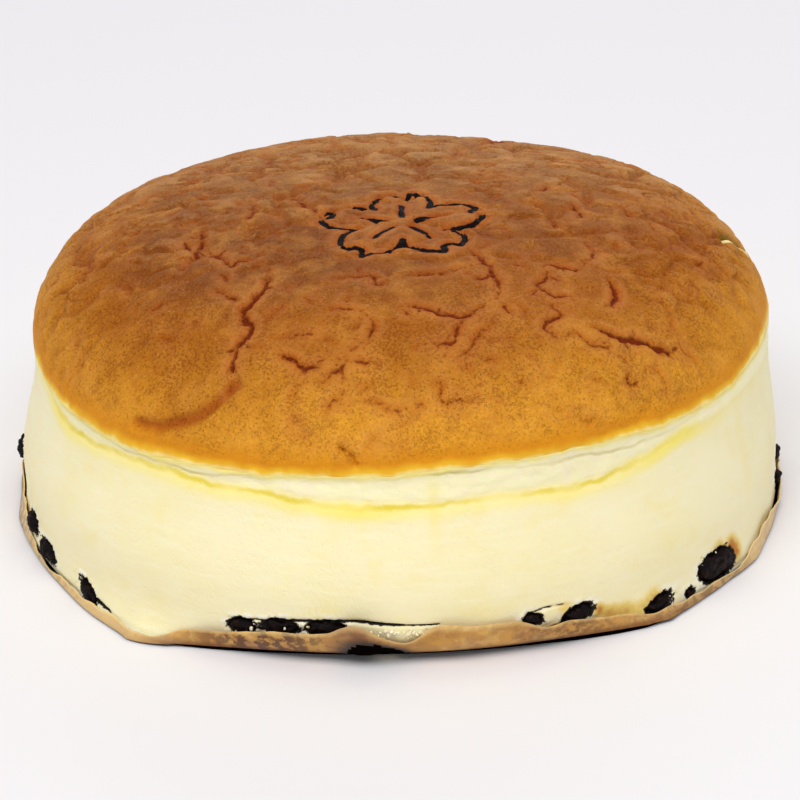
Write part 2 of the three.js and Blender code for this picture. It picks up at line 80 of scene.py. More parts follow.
FRONT_ARC_RADIUS = 215
FRONT_REACH = 83.7
ROUND_REACH = 91.7
PAPER_CORNERS = [(-130, 11, 4.6), (-50, 17, 2.2), (172, 9, 2.0)]  # azimuth, spread, reach
ROUND_WAVES = [(3, 0.35, 20), (7, 0.3, 65)]  # waves, size, crest's azimuth
PAPER_OUTSIDE_FOOT = 1.0
FOOT_TRIM = [  # azimuth and how far the foot stands out or in there, for its straighter stretches
    (-178, 0.4), (-170, 1.6), (-161, 0.9), (-151, 0.4), (-142, 0.0), (-138, -0.5), (-134, -1.2), (
        -130.5, -1.0,
    ),
    (-127.5, 0.9), (-125, 1.4), (-118, 1.3), (-112, 0.8), (-106, 0.3), (-90, 0.1), (-71, 0.3), (-66, 0.9),
    (-60, 1.1), (-55.5, 0.7), (-52.5, 0.8), (-50, -0.3), (-45, -0.9), (-38, -0.6), (-34, 0.4), (-31, 1.0),
    (-26, 0.4), (-15, 0.1), (0, 0.0), (120, 0.0), (165, 0.2),
]
PAPER_LIFTS = [  # azimuth and height of the paper's bend over the floor
    (-170, 0.5), (-134, 0.4), (-127, 0.4), (-122, 0.9), (-112, 1.5), (-101, 1.7), (-96, 2.4), (-93, 2.8),
    (-90, 2.2), (-86, 1.5), (-80, 1.7), (-66, 1.7), (-58, 1.2), (-50, 0.6), (-30, 0.5), (20, 0.9), (60, 0.5),
    (100, 1.1), (140, 0.6),
]

EDGE_WAVES = [(1, 1.6, 111), (2, 1.89, -17), (3, 1.99, 33)]
EDGE_TRIM = [  # azimuth and rise of the crust's edge over its waves
    (-180, 0.0), (-96, 0.0), (-84, 0.6), (-74, 1.4), (-57, 1.4), (-49, 0.7), (-34, 0.9), (-28, 1.8),
    (-18, 2.0), (-8, 0.9), (2, 0.0), (170, 0.0),
]
EDGE_CRUMPLE = [(19, 0.16, 12), (37, 0.12, 50), (61, 0.1, 5), (103, 0.08, 70), (167, 0.05, 30)]
RIM_WAVES = [(2, 0.2, 40), (3, 0.25, -50), (5, 0.2, 10)]
SWELLS = [  # x, y, spread, height
    (-46, -62, 9, -1.4), (-34, -50, 8, -0.8), (-20, -60, 14, 0.7), (20, -50, 8, -0.7),
    (33, -56, 14, 0.6), (54, -50, 7, -0.8), (-45, -22, 9, -0.7), (44, -10, 9, -0.5),
    (-62, 22, 20, 0.8), (24, 46, 16, -0.8), (-14, 52, 18, 0.7), (60, 30, 16, 0.6),
]

# ---------------------------------------------------------------- form of the cake


def waves(angle, rows):
    """Sum of whole waves round the cake."""
    return sum(size * np.cos(count * (angle - math.radians(crest))) for count, size, crest in rows)


def turn_from(angle, azimuth):
    """Degrees from an azimuth, the short way round."""
    turn = angle - np.radians(azimuth)
    return np.degrees(np.arctan2(np.sin(turn), np.cos(turn)))


def bump_at(angle, azimuth, spread):
    return np.exp(-((turn_from(angle, azimuth) / spread) ** 2))


def smooth(low, high, value):
    share = np.clip((value - low) / (high - low), 0, 1)
    return share * share * (3 - 2 * share)


def mix(start, end, share):
    return start + (end - start) * share


def ring_values(angle, rows, easing=2.5):
    """A value round the cake through (azimuth, value) rows, eased over some degrees between them."""
    azimuths = np.array([row[0] for row in rows], float)
    values = np.array([row[1] for row in rows], float)
    fine = np.arange(-180, 180, 0.5)
    level = np.interp(fine, azimuths, values, period=360)
    reach = int(4 * easing)
    kernel = np.exp(-((np.arange(-reach, reach + 1) * 0.5 / easing) ** 2))
    padded = np.concatenate((level[-reach:], level, level[:reach]))
    eased = np.convolve(padded, kernel / kernel.sum(), mode="valid")
    return np.interp(np.degrees(angle), fine, eased, period=360)


def rim_radius(angle):
    return CRUST_RADIUS + waves(angle, RIM_WAVES)


def wavy_edge(angle):
    return CRUST_EDGE_HEIGHT + waves(angle, EDGE_WAVES)


def edge_height(angle):
    """Height of the crust's lower edge."""
    return wavy_edge(angle) + ring_values(angle, EDGE_TRIM) + waves(angle, EDGE_CRUMPLE)


def mounds(x, y, rows):
    """Sum of soft round mounds; rows are x, y, spread and height."""
    return sum(
        height * np.exp(-((x - at_x) ** 2 + (y - at_y) ** 2) / (2 * spread**2))
        for at_x, at_y, spread, height in rows
    )


def cap_point(angle, latitude):
    """A point of the domed crust, from latitude 0 at its edge to a quarter turn at its crown."""
    radius = rim_radius(angle) * np.cos(latitude) ** (2 / SHOULDER_POWER)
    rise = np.sin(latitude) ** (2 / CROWN_POWER)
    x = CAP_SHIFT[0] + radius * np.cos(angle)
    y = CAP_SHIFT[1] + radius * np.sin(angle)
    z = mix(edge_height(angle), CAKE_HEIGHT, rise) + mounds(x, y, SWELLS) * np.minimum(1, 2 * rise)
    return np.stack((x, y, z), axis=-1)


def cap_height(x, y):
    angle = np.arctan2(y - CAP_SHIFT[1], x - CAP_SHIFT[0])
    share = np.minimum(1, np.hypot(x - CAP_SHIFT[0], y - CAP_SHIFT[1]) / rim_radius(angle))
    return cap_point(angle, np.arccos(share ** (SHOULDER_POWER / 2)))[..., 2]


def paper_reach(angle):
    """Distance from the axis to the baking paper, whose front is folded up along a flatter arc."""
    back = FRONT_ARC_RADIUS - FRONT_REACH
    forward = -np.sin(angle)
    front = np.sqrt(FRONT_ARC_RADIUS**2 - back**2 * (1 - forward**2)) - back * forward
    corners = sum(reach * bump_at(angle, azimuth, spread) for azimuth, spread, reach in PAPER_CORNERS)
    round_reach = ROUND_REACH + corners + waves(angle, ROUND_WAVES)
    reach = np.where(forward > 0, np.minimum(round_reach, front), round_reach)
    return reach + ring_values(angle, FOOT_TRIM, 1.2)


def side_centre(height):
    """The side leans with the slumped cap."""
    lean = smooth(BELLY_HEIGHT, CRUST_EDGE_HEIGHT, height)
    return CAP_SHIFT[0] * lean, CAP_SHIFT[1] * lean


def side_radius(angle, height):
    turned = np.clip((height - CAKE_UNDERSIDE) / FOOT_ROUNDING, 0, 1)
    belly_share = smooth(BELLY_HEIGHT, CRUST_EDGE_HEIGHT - CREASE_DROP, height)
    belly = mix(BELLY_RADIUS, WAIST_RADIUS, belly_share)
    return mix(paper_reach(angle) - PAPER_OUTSIDE_FOOT, belly, np.sqrt(1 - (1 - turned) ** 2))


def side_point(angle, height, inset=0.0):
    centre_x, centre_y = side_centre(height)
    radius = side_radius(angle, height) - inset
    x = centre_x + radius * np.cos(angle)
    y = centre_y + radius * np.sin(angle)
    return np.stack((x, y, np.broadcast_to(height, x.shape)), axis=-1)


def spline(points, spacing):
    """Evenly spaced points along a Catmull-Rom curve, and the share of its length at each."""
    knots = np.array(points, float)
    knots = np.vstack((2 * knots[0] - knots[1], knots, 2 * knots[-1] - knots[-2]))
    steps = np.linspace(0, 1, 17)[:-1, None]
    pieces = []
    for before, start, end, after in zip(knots[:-3], knots[1:-2], knots[2:-1], knots[3:]):
        bend = 2 * before - 5 * start + 4 * end - after
        twist = 3 * (start - end) + after - before
        pieces.append(start + 0.5 * steps * (end - before + steps * (bend + steps * twist)))
    curve = np.vstack((*pieces, knots[-2]))
    along = np.concatenate(([0], np.cumsum(np.linalg.norm(np.diff(curve, axis=0), axis=1))))
    count = max(3, int(along[-1] / spacing))
    wanted = np.linspace(0, along[-1], count)
    places = np.stack([np.interp(wanted, along, curve[:, axis]) for axis in range(curve.shape[1])], axis=-1)
    return places, wanted / along[-1], along[-1]


# ---------------------------------------------------------------- meshes


def link(name, mesh):
    piece = bpy.data.objects.new(name, mesh)
    bpy.context.scene.collection.objects.link(piece)
    return piece


def make_mesh(name, points, faces, fields):
    """A mesh from points in millimetres, smooth shaded, with a value at each point for each field."""
    mesh = bpy.data.meshes.new(name)
    mesh.from_pydata((points * MM).tolist(), [], faces)
    mesh.shade_smooth()
    for field, values in fields.items():
        wide = values.ndim == 2
        layer = mesh.attributes.new(field, "FLOAT_VECTOR" if wide else "FLOAT", "POINT")
        layer.data.foreach_set("vector" if wide else "value", values.astype(np.float32).ravel())
    return mesh


def strip_faces(start, next_start, count):
    """Quads between two rings of equal count; the second ring is the lower one of an outer wall."""
    step = np.arange(count)
    turn = (step + 1) % count
    return np.stack((start + step, next_start + step, next_start + turn, start + turn), axis=-1).tolist()


def fan_faces(pole, start, count, upwards):
    step = np.arange(count)
    turn = (step + 1) % count
    first, second = (step, turn) if upwards else (turn, step)
    return np.stack((np.full(count, pole), start + first, start + second), axis=-1).tolist()


def disc_rings(rings):
    """Ring number and angle of the points of a disc whose ring n holds 6 n points, and its triangles."""
    number, angle, faces = [np.zeros(1, int)], [np.zeros(1)], []
    for ring in range(1, rings + 1):
        number.append(np.full(6 * ring, ring))
        angle.append(np.arange(6 * ring) / (6 * ring) * 2 * np.pi)
        outer = 1 + 3 * ring * (ring - 1)
        inner = 1 + 3 * (ring - 1) * (ring - 2) if ring > 1 else 0
        inner_count = max(1, 6 * (ring - 1))
        sector, step = np.divmod(np.arange(6 * ring), ring)
        here = outer + sector * ring + step
        following = outer + (sector * ring + step + 1) % (6 * ring)
        inside = inner + (sector * (ring - 1) + step) % inner_count
        faces += np.stack((inside, here, following), axis=-1).tolist()
        between = step < ring - 1
        inside_next = inner + (sector * (ring - 1) + step + 1) % inner_count
        faces += np.stack((inside, following, inside_next), axis=-1)[between].tolist()
    return np.concatenate(number), np.concatenate(angle), faces


# ---------------------------------------------------------------- node trees


class Board:
    """Adds nodes to one shader or geometry tree. A value may be plain or another node's socket."""

    def __init__(self, tree):
        self.tree = tree

    def feed(self, socket, value):
        if isinstance(value, bpy.types.NodeSocket):
            self.tree.links.new(value, socket)
        else:
            socket.default_value = value

    def add(self, kind, inputs=None, **settings):
        node = self.tree.nodes.new(kind)
        for name, value in settings.items():
            setattr(node, name, value)
        for key, value in (inputs or {}).items():
            self.feed(node.inputs[key], value)
        return node

    def math(self, operation, *values):
        return self.add("ShaderNodeMath", dict(enumerate(values)), operation=operation).outputs[0]

    def vector(self, operation, *values):
        return self.add("ShaderNodeVectorMath", dict(enumerate(values)), operation=operation).outputs[0]

    def scaled(self, vector, scale):
        return self.add("ShaderNodeVectorMath", {0: vector, "Scale": scale}, operation="SCALE").outputs[0]

    def step(self, value, low, high, start=0.0, end=1.0):
        """Eases from start to end as value goes from low to high."""
        inputs = dict(enumerate((value, low, high, start, end)))
        return self.add("ShaderNodeMapRange", inputs, interpolation_type="SMOOTHSTEP").outputs[0]

    def noise(self, place, size, detail=2.0, rough=0.5, output=0, **settings):
        """Soft noise whose lumps are about size across, in the units of place."""
        scale = self.math("DIVIDE", 1.0, size) if isinstance(size, bpy.types.NodeSocket) else 1.0 / size
        inputs = {"Vector": place, "Scale": scale, "Detail": detail, "Roughness": rough}
        return self.add("ShaderNodeTexNoise", inputs, **settings).outputs[output]

    def cells(self, place, size, feature="F1"):
        inputs = {"Vector": place, "Scale": 1.0 / size}
        return self.add("ShaderNodeTexVoronoi", inputs, feature=feature)

    def blend(self, share, first, second, how="MIX"):
        inputs = {0: share, 6: first, 7: second}
        return self.add("ShaderNodeMix", inputs, data_type="RGBA", blend_type=how).outputs[2]

    def field(self, name):
        """A value that the mesh carries at each point."""
        if self.tree.bl_idname == "ShaderNodeTree":
            return self.add("ShaderNodeAttribute", attribute_name=name).outputs["Fac"]
        return self.add("GeometryNodeInputNamedAttribute", {"Name": name}).outputs[0]

    def group(self, group, **inputs):
        node = self.add("ShaderNodeGroup", node_tree=group)
        for name, value in inputs.items():
            self.feed(node.inputs[name], value)
        return node


def paint(red, green, blue):
    """Linear colour of a paint given in the usual 0 to 255 steps."""
    shares = (np.array((red, green, blue)) / 255.0).tolist()
    return tuple(s / 12.92 if s <= 0.04045 else ((s + 0.055) / 1.055) ** 2.4 for s in shares) + (1.0,)


def new_group(name, kind, inputs, outputs):
    """An empty node group with its sockets. Inputs and outputs are (name, type, default) rows."""
    tree = bpy.data.node_groups.new(name, kind)
    for direction, rows in (("INPUT", inputs), ("OUTPUT", outputs)):
        for label, socket, *default in rows:
            item = tree.interface.new_socket(name=label, in_out=direction, socket_type="NodeSocket" + socket)
            if default:
                item.default_value = default[0]
    board = Board(tree)
    return board, board.add("NodeGroupInput").outputs, board.add("NodeGroupOutput").inputs


def relief_tree(name, inputs):
    """A Geometry Nodes tree that takes a mesh and gives one back; its sizes are inputs in millimetres."""
    rows = [("Geometry", "Geometry")] + [(label, "Float", value) for label, value in inputs.items()]
    rows += [("Finish", "Material"), ("Underside", "Material")]
    return new_group(name, "GeometryNodeTree", rows, [("Geometry", "Geometry")])


def close_tree(board, given, result, geometry, painted_shade_at=None):
    """Every tree ends in real mesh with its material set, and with a second, painted-shade material where
    told.
    """
    real = board.add("GeometryNodeRealizeInstances", {0: geometry}).outputs[0]
    smooth_mesh = board.add("GeometryNodeSetShadeSmooth", {0: real}).outputs[0]
    finished = board.add("GeometryNodeSetMaterial", {"Geometry": smooth_mesh, "Material": given["Finish"]})
    if painted_shade_at is not None:
        finished = board.add("GeometryNodeSetMaterial", {
            "Geometry": finished.outputs[0], "Selection": painted_shade_at, "Material": given["Underside"],
        })
    board.feed(result["Geometry"], finished.outputs[0])


def shape_with(piece, tree, finish, share_kept=1.0, **sizes):
    """Runs a Geometry Nodes tree on a piece, thins it where it is smooth, and keeps the plain mesh."""
    modifier = piece.modifiers.new(tree.name, "NODES")
    modifier.node_group = tree
    values = {label.replace("_", " "): value for label, value in sizes.items()}
    values["Finish"] = finish
    for item in tree.interface.items_tree:
        if item.in_out == "INPUT" and item.name in values:
            modifier[item.identifier] = values[item.name]
    if share_kept < 1:
        piece.modifiers.new("thinning", "DECIMATE").ratio = share_kept
    depsgraph = bpy.context.evaluated_depsgraph_get()
    evaluated = piece.evaluated_get(depsgraph)
    result = bpy.data.meshes.new_from_object(evaluated, preserve_all_data_layers=True, depsgraph=depsgraph)
    piece.modifiers.clear()
    piece.data = result
    return piece


def pushed_out(board, geometry, height):
    """Moves each point along its normal by a height in millimetres."""
    normal = board.add("GeometryNodeInputNormal").outputs[0]
    metres = board.math("MULTIPLY", height, MM)
    offset = board.scaled(normal, metres)
    return board.add("GeometryNodeSetPosition", {"Geometry": geometry, "Offset": offset}).outputs[0]


def place_in_mm(board):
    """Position in millimetres, in a shader or a geometry tree."""
    if board.tree.bl_idname == "ShaderNodeTree":
        metres = board.add("ShaderNodeTexCoord").outputs["Object"]
    else:
        metres = board.add("GeometryNodeInputPosition").outputs[0]
    return board.scaled(metres, 1 / MM)


# ---------------------------------------------------------------- shared effects of the finishes


def grain_group():
    """Baked grain: fine lumps, with ragged pits and pale specks that gather in clusters."""
    inputs = [("Place", "Vector"), ("Grain size", "Float", 0.6)]
    outputs = [("Tone", "Float"), ("Pits", "Float"), ("Specks", "Float"), ("Height", "Float")]
    board, given, result = new_group("baked grain", "ShaderNodeTree", inputs, outputs)
    place, size = given["Place"], given["Grain size"]
    tone = board.noise(place, size, detail=4.0, rough=0.72)
    clusters = board.noise(place, board.math("MULTIPLY", size, 12.0), detail=1.0)
    gathered = board.math("MULTIPLY", board.math("SUBTRACT", clusters, 0.5), 0.35)
    pit_noise = board.noise(board.vector("ADD", place, (31.0, 7.0, 5.0)), size, detail=2.0, rough=0.6)
    pits = board.step(board.math("ADD", pit_noise, gathered), 0.57, 0.68)
    speck_noise = board.noise(board.vector("ADD", place, (3.0, 47.0, 11.0)), size, detail=2.0, rough=0.6)
    specks = board.step(board.math("SUBTRACT", speck_noise, gathered), 0.60, 0.72)
    height = board.math("SUBTRACT", tone, board.math("MULTIPLY", pits, 0.6))
    board.feed(result["Tone"], tone)
    board.feed(result["Pits"], pits)
    board.feed(result["Specks"], specks)
    board.feed(result["Height"], height)
    return board.tree


def blotch_group():
    """Soft uneven patches between 0 and 1."""
    inputs = [("Place", "Vector"), ("Size", "Float", 20.0), ("Low", "Float", 0.35), ("High", "Float", 0.65)]
    board, given, result = new_group("soft blotches", "ShaderNodeTree", inputs, [("Mask", "Float")])
    patches = board.noise(given["Place"], given["Size"], detail=2.5, rough=0.55)
    board.feed(result["Mask"], board.step(patches, given["Low"], given["High"]))
    return board.tree


GRAIN = grain_group()
BLOTCHES = blotch_group()


def new_material(name, roughness, **constants):
    """A material with its Principled shader; constants are the shader's own sockets."""
    material = bpy.data.materials.new(name)
    material.use_nodes = True
    shader = material.node_tree.nodes["Principled BSDF"]
    shader.inputs["Roughness"].default_value = roughness
    for label, value in constants.items():
        shader.inputs[label.replace("_", " ")].default_value = value
    return material, Board(material.node_tree), shader


def bumped(board, shader, height):
    """Feeds a height in millimetres through a Bump node."""
    bump = board.add("ShaderNodeBump", {"Strength": 1.0, "Distance": MM, "Height": height})
    board.feed(shader.inputs["Normal"], bump.outputs[0])


# ---------------------------------------------------------------- cracks and the pressed-in blossom

# Each crack: half its width, its depth, its darkness, and its plan points.
CRACKS = [
    # left of the blossom
    (0.75, 1.3, 1.0, [(-28, -37), (-27, -40), (-28, -44), (-31, -47), (-33, -50), (-31, -55), (-34, -60),
                      (-35, -63), (-34, -65), (-36, -67)]),
    (0.45, 0.8, 0.8, [(-39, -40), (-36, -43), (-33, -46)]),
    (0.6, 1.0, 0.9, [(-43, -11), (-44, -23), (-45, -25), (-48, -27)]),
    (0.4, 0.7, 0.7, [(-48, -14), (-46, -20), (-44, -24)]),
    (0.55, 0.9, 0.85, [(-44, -23), (-40, -26), (-36, -32), (-35, -31), (-31, -31), (-28, -27)]),
    (0.5, 0.7, 0.8, [(-38, -35), (-36, -39)]),
    (0.6, 0.6, 0.5, [(-35, 25), (-30, 18)]),
    (0.5, 0.7, 0.7, [(-33, 1), (-32, -8), (-35, -10)]),
    (0.8, 0.9, 0.7, [(-27, 5), (-23, 1), (-19, -6), (-15, -11)]),
    (0.9, 0.6, 0.4, [(-9, 24), (-5, 33)]),
    (0.9, 0.5, 0.4, [(-1, 49), (1, 37)]),
    # right of the blossom
    (0.9, 0.6, 0.5, [(17, 41), (15, 26)]),
    (0.6, 0.6, 0.5, [(27, 26), (23, 20), (21, 12)]),
    (0.6, 0.5, 0.4, [(25, 42), (29, 49)]),
    (0.4, 0.4, 0.4, [(22, -22), (27, -22)]),
    (0.45, 0.6, 0.7, [(36, 6), (35, 2)]),
    (0.45, 0.7, 0.8, [(41, -4), (43, -13)]),
    (0.6, 0.6, 0.6, [(36, -12), (36, -19), (34, -20)]),
    (0.35, 0.5, 0.6, [(51, -1), (54, -5), (57, -7)]),
    (0.6, 0.4, 0.5, [(62, -1), (65, 2)]),
    (0.5, 0.4, 0.5, [(59, -9), (60, -13)]),
    (0.4, 0.6, 0.7, [(43, -25), (44, -31), (41, -38)]),
    (0.3, 0.5, 0.8, [(25, -40), (27, -39), (29, -39)]),
    (0.45, 0.8, 0.9, [(32, -40), (34, -38), (37, -38), (39, -39), (41, -38)]),
    (0.45, 0.7, 0.8, [(33, -40), (33, -44), (31, -47), (33, -50), (35, -50), (39, -49)]),
    (0.4, 0.5, 0.6, [(66, -26), (70, -20), (72, -19)]),
    (0.6, 0.9, 1.0, [(46, -40), (47, -43), (47, -46), (46, -50)]),
    (0.45, 0.7, 0.8, [(38, -53), (35, -56), (31, -60), (33, -61), (35, -62)]),
    (0.3, 0.6, 0.6, [(35, -62), (38, -60), (40, -61), (45, -61), (50, -62)]),
    (0.8, 1.1, 1.0, [(41, -57), (44, -57), (48, -57), (52, -55), (55, -55), (58, -54), (61, -52)]),
    (0.3, 0.4, 0.6, [(54, -50), (55, -52)]),
    (0.3, 0.4, 0.5, [(61, -49), (62, -51), (64, -51), (66, -52)]),
    (0.5, 0.6, 0.7, [(49, -63), (49, -65), (51, -64)]),
    (0.35, 0.4, 0.5, [(25, -72), (27, -73)]),
    (0.35, 0.4, 0.4, [(37, -75), (42, -73)]),
    # before the blossom
    (0.35, 0.5, 0.8, [(-14, -45), (-12, -44), (-5, -44), (-4, -48), (-1, -47)]),
    (0.35, 0.6, 0.7, [(1, -46), (4, -44), (10, -43), (20, -40)]),
    (0.7, 0.9, 1.0, [(16, -32), (20, -40), (22, -45), (22, -49), (21, -53)]),
    (0.3, 0.4, 0.6, [(-20, -50), (-18, -53)]),
    (0.35, 0.5, 0.7, [(-15, -55), (-10, -56), (-6, -57)]),
    (0.45, 0.6, 0.7, [(-6, -57), (-5, -62), (-6, -66)]),
    (0.35, 0.5, 0.5, [(-10, -49), (-10, -55)]),
    (0.5, 0.8, 0.9, [(0, -56), (4, -56), (8, -58), (12, -59), (16, -58), (18, -55), (21, -53)]),
    (0.55, 0.8, 1.0, [(23, -54), (24, -57)]),
    (0.45, 0.7, 0.8, [(14, -59), (12, -65), (9, -67), (8, -69)]),
    (0.35, 0.5, 0.6, [(3, -67), (7, -66), (9, -67)]),
    (0.35, 0.5, 0.65, [(21, -60), (17, -64), (14, -68), (11, -69)]),
    (0.35, 0.5, 0.6, [(-27, -60), (-21, -61), (-17, -62), (-16, -60)]),
    (0.5, 0.8, 0.9, [(-25, -64), (-23, -66), (-20, -68), (-16, -69)]),
    (0.5, 0.7, 0.7, [(-13, -68), (-11, -69), (-16, -72)]),
    (0.4, 0.6, 0.7, [(-11, -68), (-8, -69), (-5, -70), (-5, -71)]),
    (0.4, 0.6, 0.6, [(-11, -74), (-14, -76), (-15, -77)]),
    (0.35, 0.6, 0.7, [(-8, -76), (-4, -77), (1, -78), (3, -79)]),
    (0.3, 0.5, 0.6, [(7, -74), (9, -74), (9, -77), (12, -77), (15, -77), (19, -76)]),
    (0.3, 0.4, 0.5, [(17, -69), (21, -69)]),
    (0.25, 0.4, 0.5, [(-23, -77), (-19, -77)]),
    (0.6, 1.0, 0.5, [(-13, -81), (-11, -82), (-8, -83)]),
]
DRAWN_CRACKS = [
    {  # the far side's cracks
        "count": 16, "seed": 23, "azimuth": (12, 168), "reach": (44, 76), "half": (0.35, 0.7),
        "depth": (0.4, 0.9), "dark": (0.5, 0.9), "step": (2.5, 5.0),
    },
    {  # hair cracks all over
        "count": 230, "seed": 5, "azimuth": (-180, 180), "reach": (12, 82), "half": (0.2, 0.34),
        "depth": (0.15, 0.4), "dark": (0.25, 0.55), "step": (0.9, 2.6),
    },
]
TWIGS = {
    "seed": 31, "least_dark": 0.5, "apart": 6.5, "length": (1.6, 5.0), "thinner": (0.45, 0.7),
    "fainter": (0.5, 0.85), "turn": (0.6, 1.5), "bend": 0.7, "least_half": 0.2, "shallower": 0.6,
}
CRACK_WIDTH = 0.7  # share of the widths above
CRACK_WANDER = [(7.0, 0.4), (2.8, 0.3), (1.1, 0.18)]  # length and size of a crack's wander
CRACK_UNEVENNESS = [(4.0, 0.35), (1.3, 0.3)]  # the same for its width, as a share
CRACK_SEED = 7
CRACK_SAMPLE = 0.25
CRACK_STRETCH = 40  # samples looked at together
CRACK_GLOW = 1.7  # reach of the browner rim round it
VALLEY = {"half": 2.6, "share": 0.3}  # the soft hollow round a crack
LIP = {"off": 1.5, "half": 0.9}  # the raised rim beside it

BLOSSOM = {"x": 2.0, "y": -17.0, "radius": 19.0, "petals": 5, "notch": 2.4, "waist": 9.0, "eye": 3.4}
BLOSSOM_LINE = {"half": 0.62, "depth": 0.75, "wander": 0.12}


def drawn_cracks():
    """Short bent cracks from seeded draws."""
    for kind in DRAWN_CRACKS:
        draws = np.random.default_rng(kind["seed"])
        for _ in range(kind["count"]):
            azimuth = math.radians(draws.uniform(*kind["azimuth"]))
            nearest, farthest = kind["reach"]
            reach = math.sqrt(draws.uniform(nearest**2, farthest**2))
            place = np.array((reach * math.cos(azimuth), reach * math.sin(azimuth)))
            heading = draws.uniform(0, 2 * math.pi)
            path = [place]
            for _ in range(draws.integers(2, 5)):
                heading += draws.uniform(-0.9, 0.9)
                place = place + draws.uniform(*kind["step"]) * np.array((
                    math.cos(heading), math.sin(heading),
                ))
                path.append(place)
            half, depth, dark = (draws.uniform(*kind[label]) for label in ("half", "depth", "dark"))
            yield half, depth, dark, path


def twigs(cracks):
    """Each crack, and thin side cracks that leave it at seeded places."""
    draws = np.random.default_rng(TWIGS["seed"])
    for half, depth, dark, path in cracks:
        yield half * CRACK_WIDTH, depth, dark, path
        if dark < TWIGS["least_dark"]:
            continue
        places, _, length = spline(path, 0.5)
        for _ in range(int(length / TWIGS["apart"] + draws.uniform(0, 1))):
            start = draws.integers(len(places) - 1)
            run = places[start + 1] - places[start]
            side = draws.choice((-1, 1))
            heading = math.atan2(run[1], run[0]) + side * draws.uniform(*TWIGS["turn"])
            reach = draws.uniform(*TWIGS["length"])
            bend = heading + draws.uniform(-TWIGS["bend"], TWIGS["bend"])
            middle = places[start] + 0.5 * reach * np.array((math.cos(heading), math.sin(heading)))
            tip = middle + 0.5 * reach * np.array((math.cos(bend), math.sin(bend)))
            thinner, fainter = draws.uniform(*TWIGS["thinner"]), draws.uniform(*TWIGS["fainter"])
            slim = max(TWIGS["least_half"], half * thinner)
            yield slim, TWIGS["shallower"] * depth, dark * fainter, [places[start], middle, tip]


def blossom_reach(angle):
    """Distance from the blossom's centre to its outline: round petals, each notched at its tip."""
    petal = np.abs(np.cos(BLOSSOM["petals"] / 2 * angle))
    body = BLOSSOM["radius"] - BLOSSOM["waist"] * (1 - petal**0.7)
    return body - BLOSSOM["notch"] * smooth(0.95, 1, petal)


def blossom_paths():
    """The outline and five stamen strokes, as plan points."""
    upright = math.pi / 2

    def places(angle, reach):
        return np.stack((
            BLOSSOM["x"] + reach * np.cos(angle + upright),
            BLOSSOM["y"] + reach * np.sin(angle + upright),
        ), axis=-1)

    angle = np.linspace(0, 2 * np.pi, 401)
    yield places(angle, blossom_reach(angle))
    for petal in range(BLOSSOM["petals"]):
        reach = np.linspace(BLOSSOM["eye"], 0.56 * BLOSSOM["radius"], 5)
        yield places(np.full(5, 2 * math.pi * petal / BLOSSOM["petals"]), reach)


def wobble(along, rows, draws):
    """Smooth seeded unevenness along a line; rows are (length, size) of its lumps."""
    total = np.zeros_like(along)
    for length, size in rows:
        knots = draws.uniform(-1, 1, int(2 * along[-1] / length) + 2)
        step, share = np.divmod(2 * along / length, 1)
        step = step.astype(int)
        total += size * mix(knots[step], knots[step + 1], share * share * (3 - 2 * share))
    return total


def crust_lines():
    """Samples of every crack and blossom line: place, half width, depth and darkness."""
    draws = np.random.default_rng(CRACK_SEED)
    lines = [(*crack, False) for crack in [*twigs(CRACKS), *drawn_cracks()]]
    lines += [(BLOSSOM_LINE["half"], BLOSSOM_LINE["depth"], 1.0, path, True) for path in blossom_paths()]
    for half, depth, dark, path, burnt in lines:
        plan, share, length = spline(path, CRACK_SAMPLE)
        along = share * length
        heading = np.gradient(plan, axis=0)
        heading /= np.linalg.norm(heading, axis=1, keepdims=True)
        across = np.stack((heading[:, 1], -heading[:, 0]), axis=-1)
        wander = wobble(along, CRACK_WANDER, draws) * (BLOSSOM_LINE["wander"] if burnt else 1)
        plan = plan + across * wander[:, None]
        uneven = 1 + wobble(along, CRACK_UNEVENNESS, draws) * (0.5 if burnt else 1)
        taper = uneven if burnt else uneven * (0.25 + 0.75 * np.sin(np.pi * share) ** 0.7)
        strength = np.minimum(1, taper)
        centre = np.column_stack((plan, cap_height(plan[:, 0], plan[:, 1])))
        yield centre, half * taper, depth * strength, dark * strength, burnt


def line_fields(points):
    """What the cracks and the blossom do at each point, from their distances to it."""
    fields = {label: np.zeros(len(points)) for label in ("groove", "lip", "crack", "burn", "glow")}

    def keep_most(label, rows, values):
        fields[label][rows] = np.maximum(fields[label][rows], values)

    margin = 3 * VALLEY["half"]
    for centre, half, depth, dark, burnt in crust_lines():
        for start in range(0, len(centre), CRACK_STRETCH):
            part = slice(start, start + CRACK_STRETCH + 1)
            low, high = centre[part].min(axis=0) - margin, centre[part].max(axis=0) + margin
            rows = np.flatnonzero(((points > low) & (points < high)).all(axis=1))
            apart = np.linalg.norm(points[rows, None, :] - centre[None, part, :], axis=2)
            found = apart.argmin(axis=1)
            gap = apart[np.arange(len(rows)), found]
            wide, deep, black = half[part][found], depth[part][found], dark[part][found]
            sharp = deep * np.exp(-((gap / (1.2 * wide + 0.25)) ** 2))
            soft = VALLEY["share"] * deep * np.exp(-((gap / VALLEY["half"]) ** 2))
            keep_most("groove", rows, np.maximum(sharp, soft))
            beside = (gap - wide - LIP["off"]) / LIP["half"]
            keep_most("lip", rows, np.sqrt(deep) * np.exp(-(beside**2)))
            keep_most("burn" if burnt else "crack", rows, black * np.exp(-((gap / wide) ** 2)))
            keep_most("glow", rows, black * np.exp(-((gap / (wide + CRACK_GLOW)) ** 2)))
    return fields


# ---------------------------------------------------------------- crust

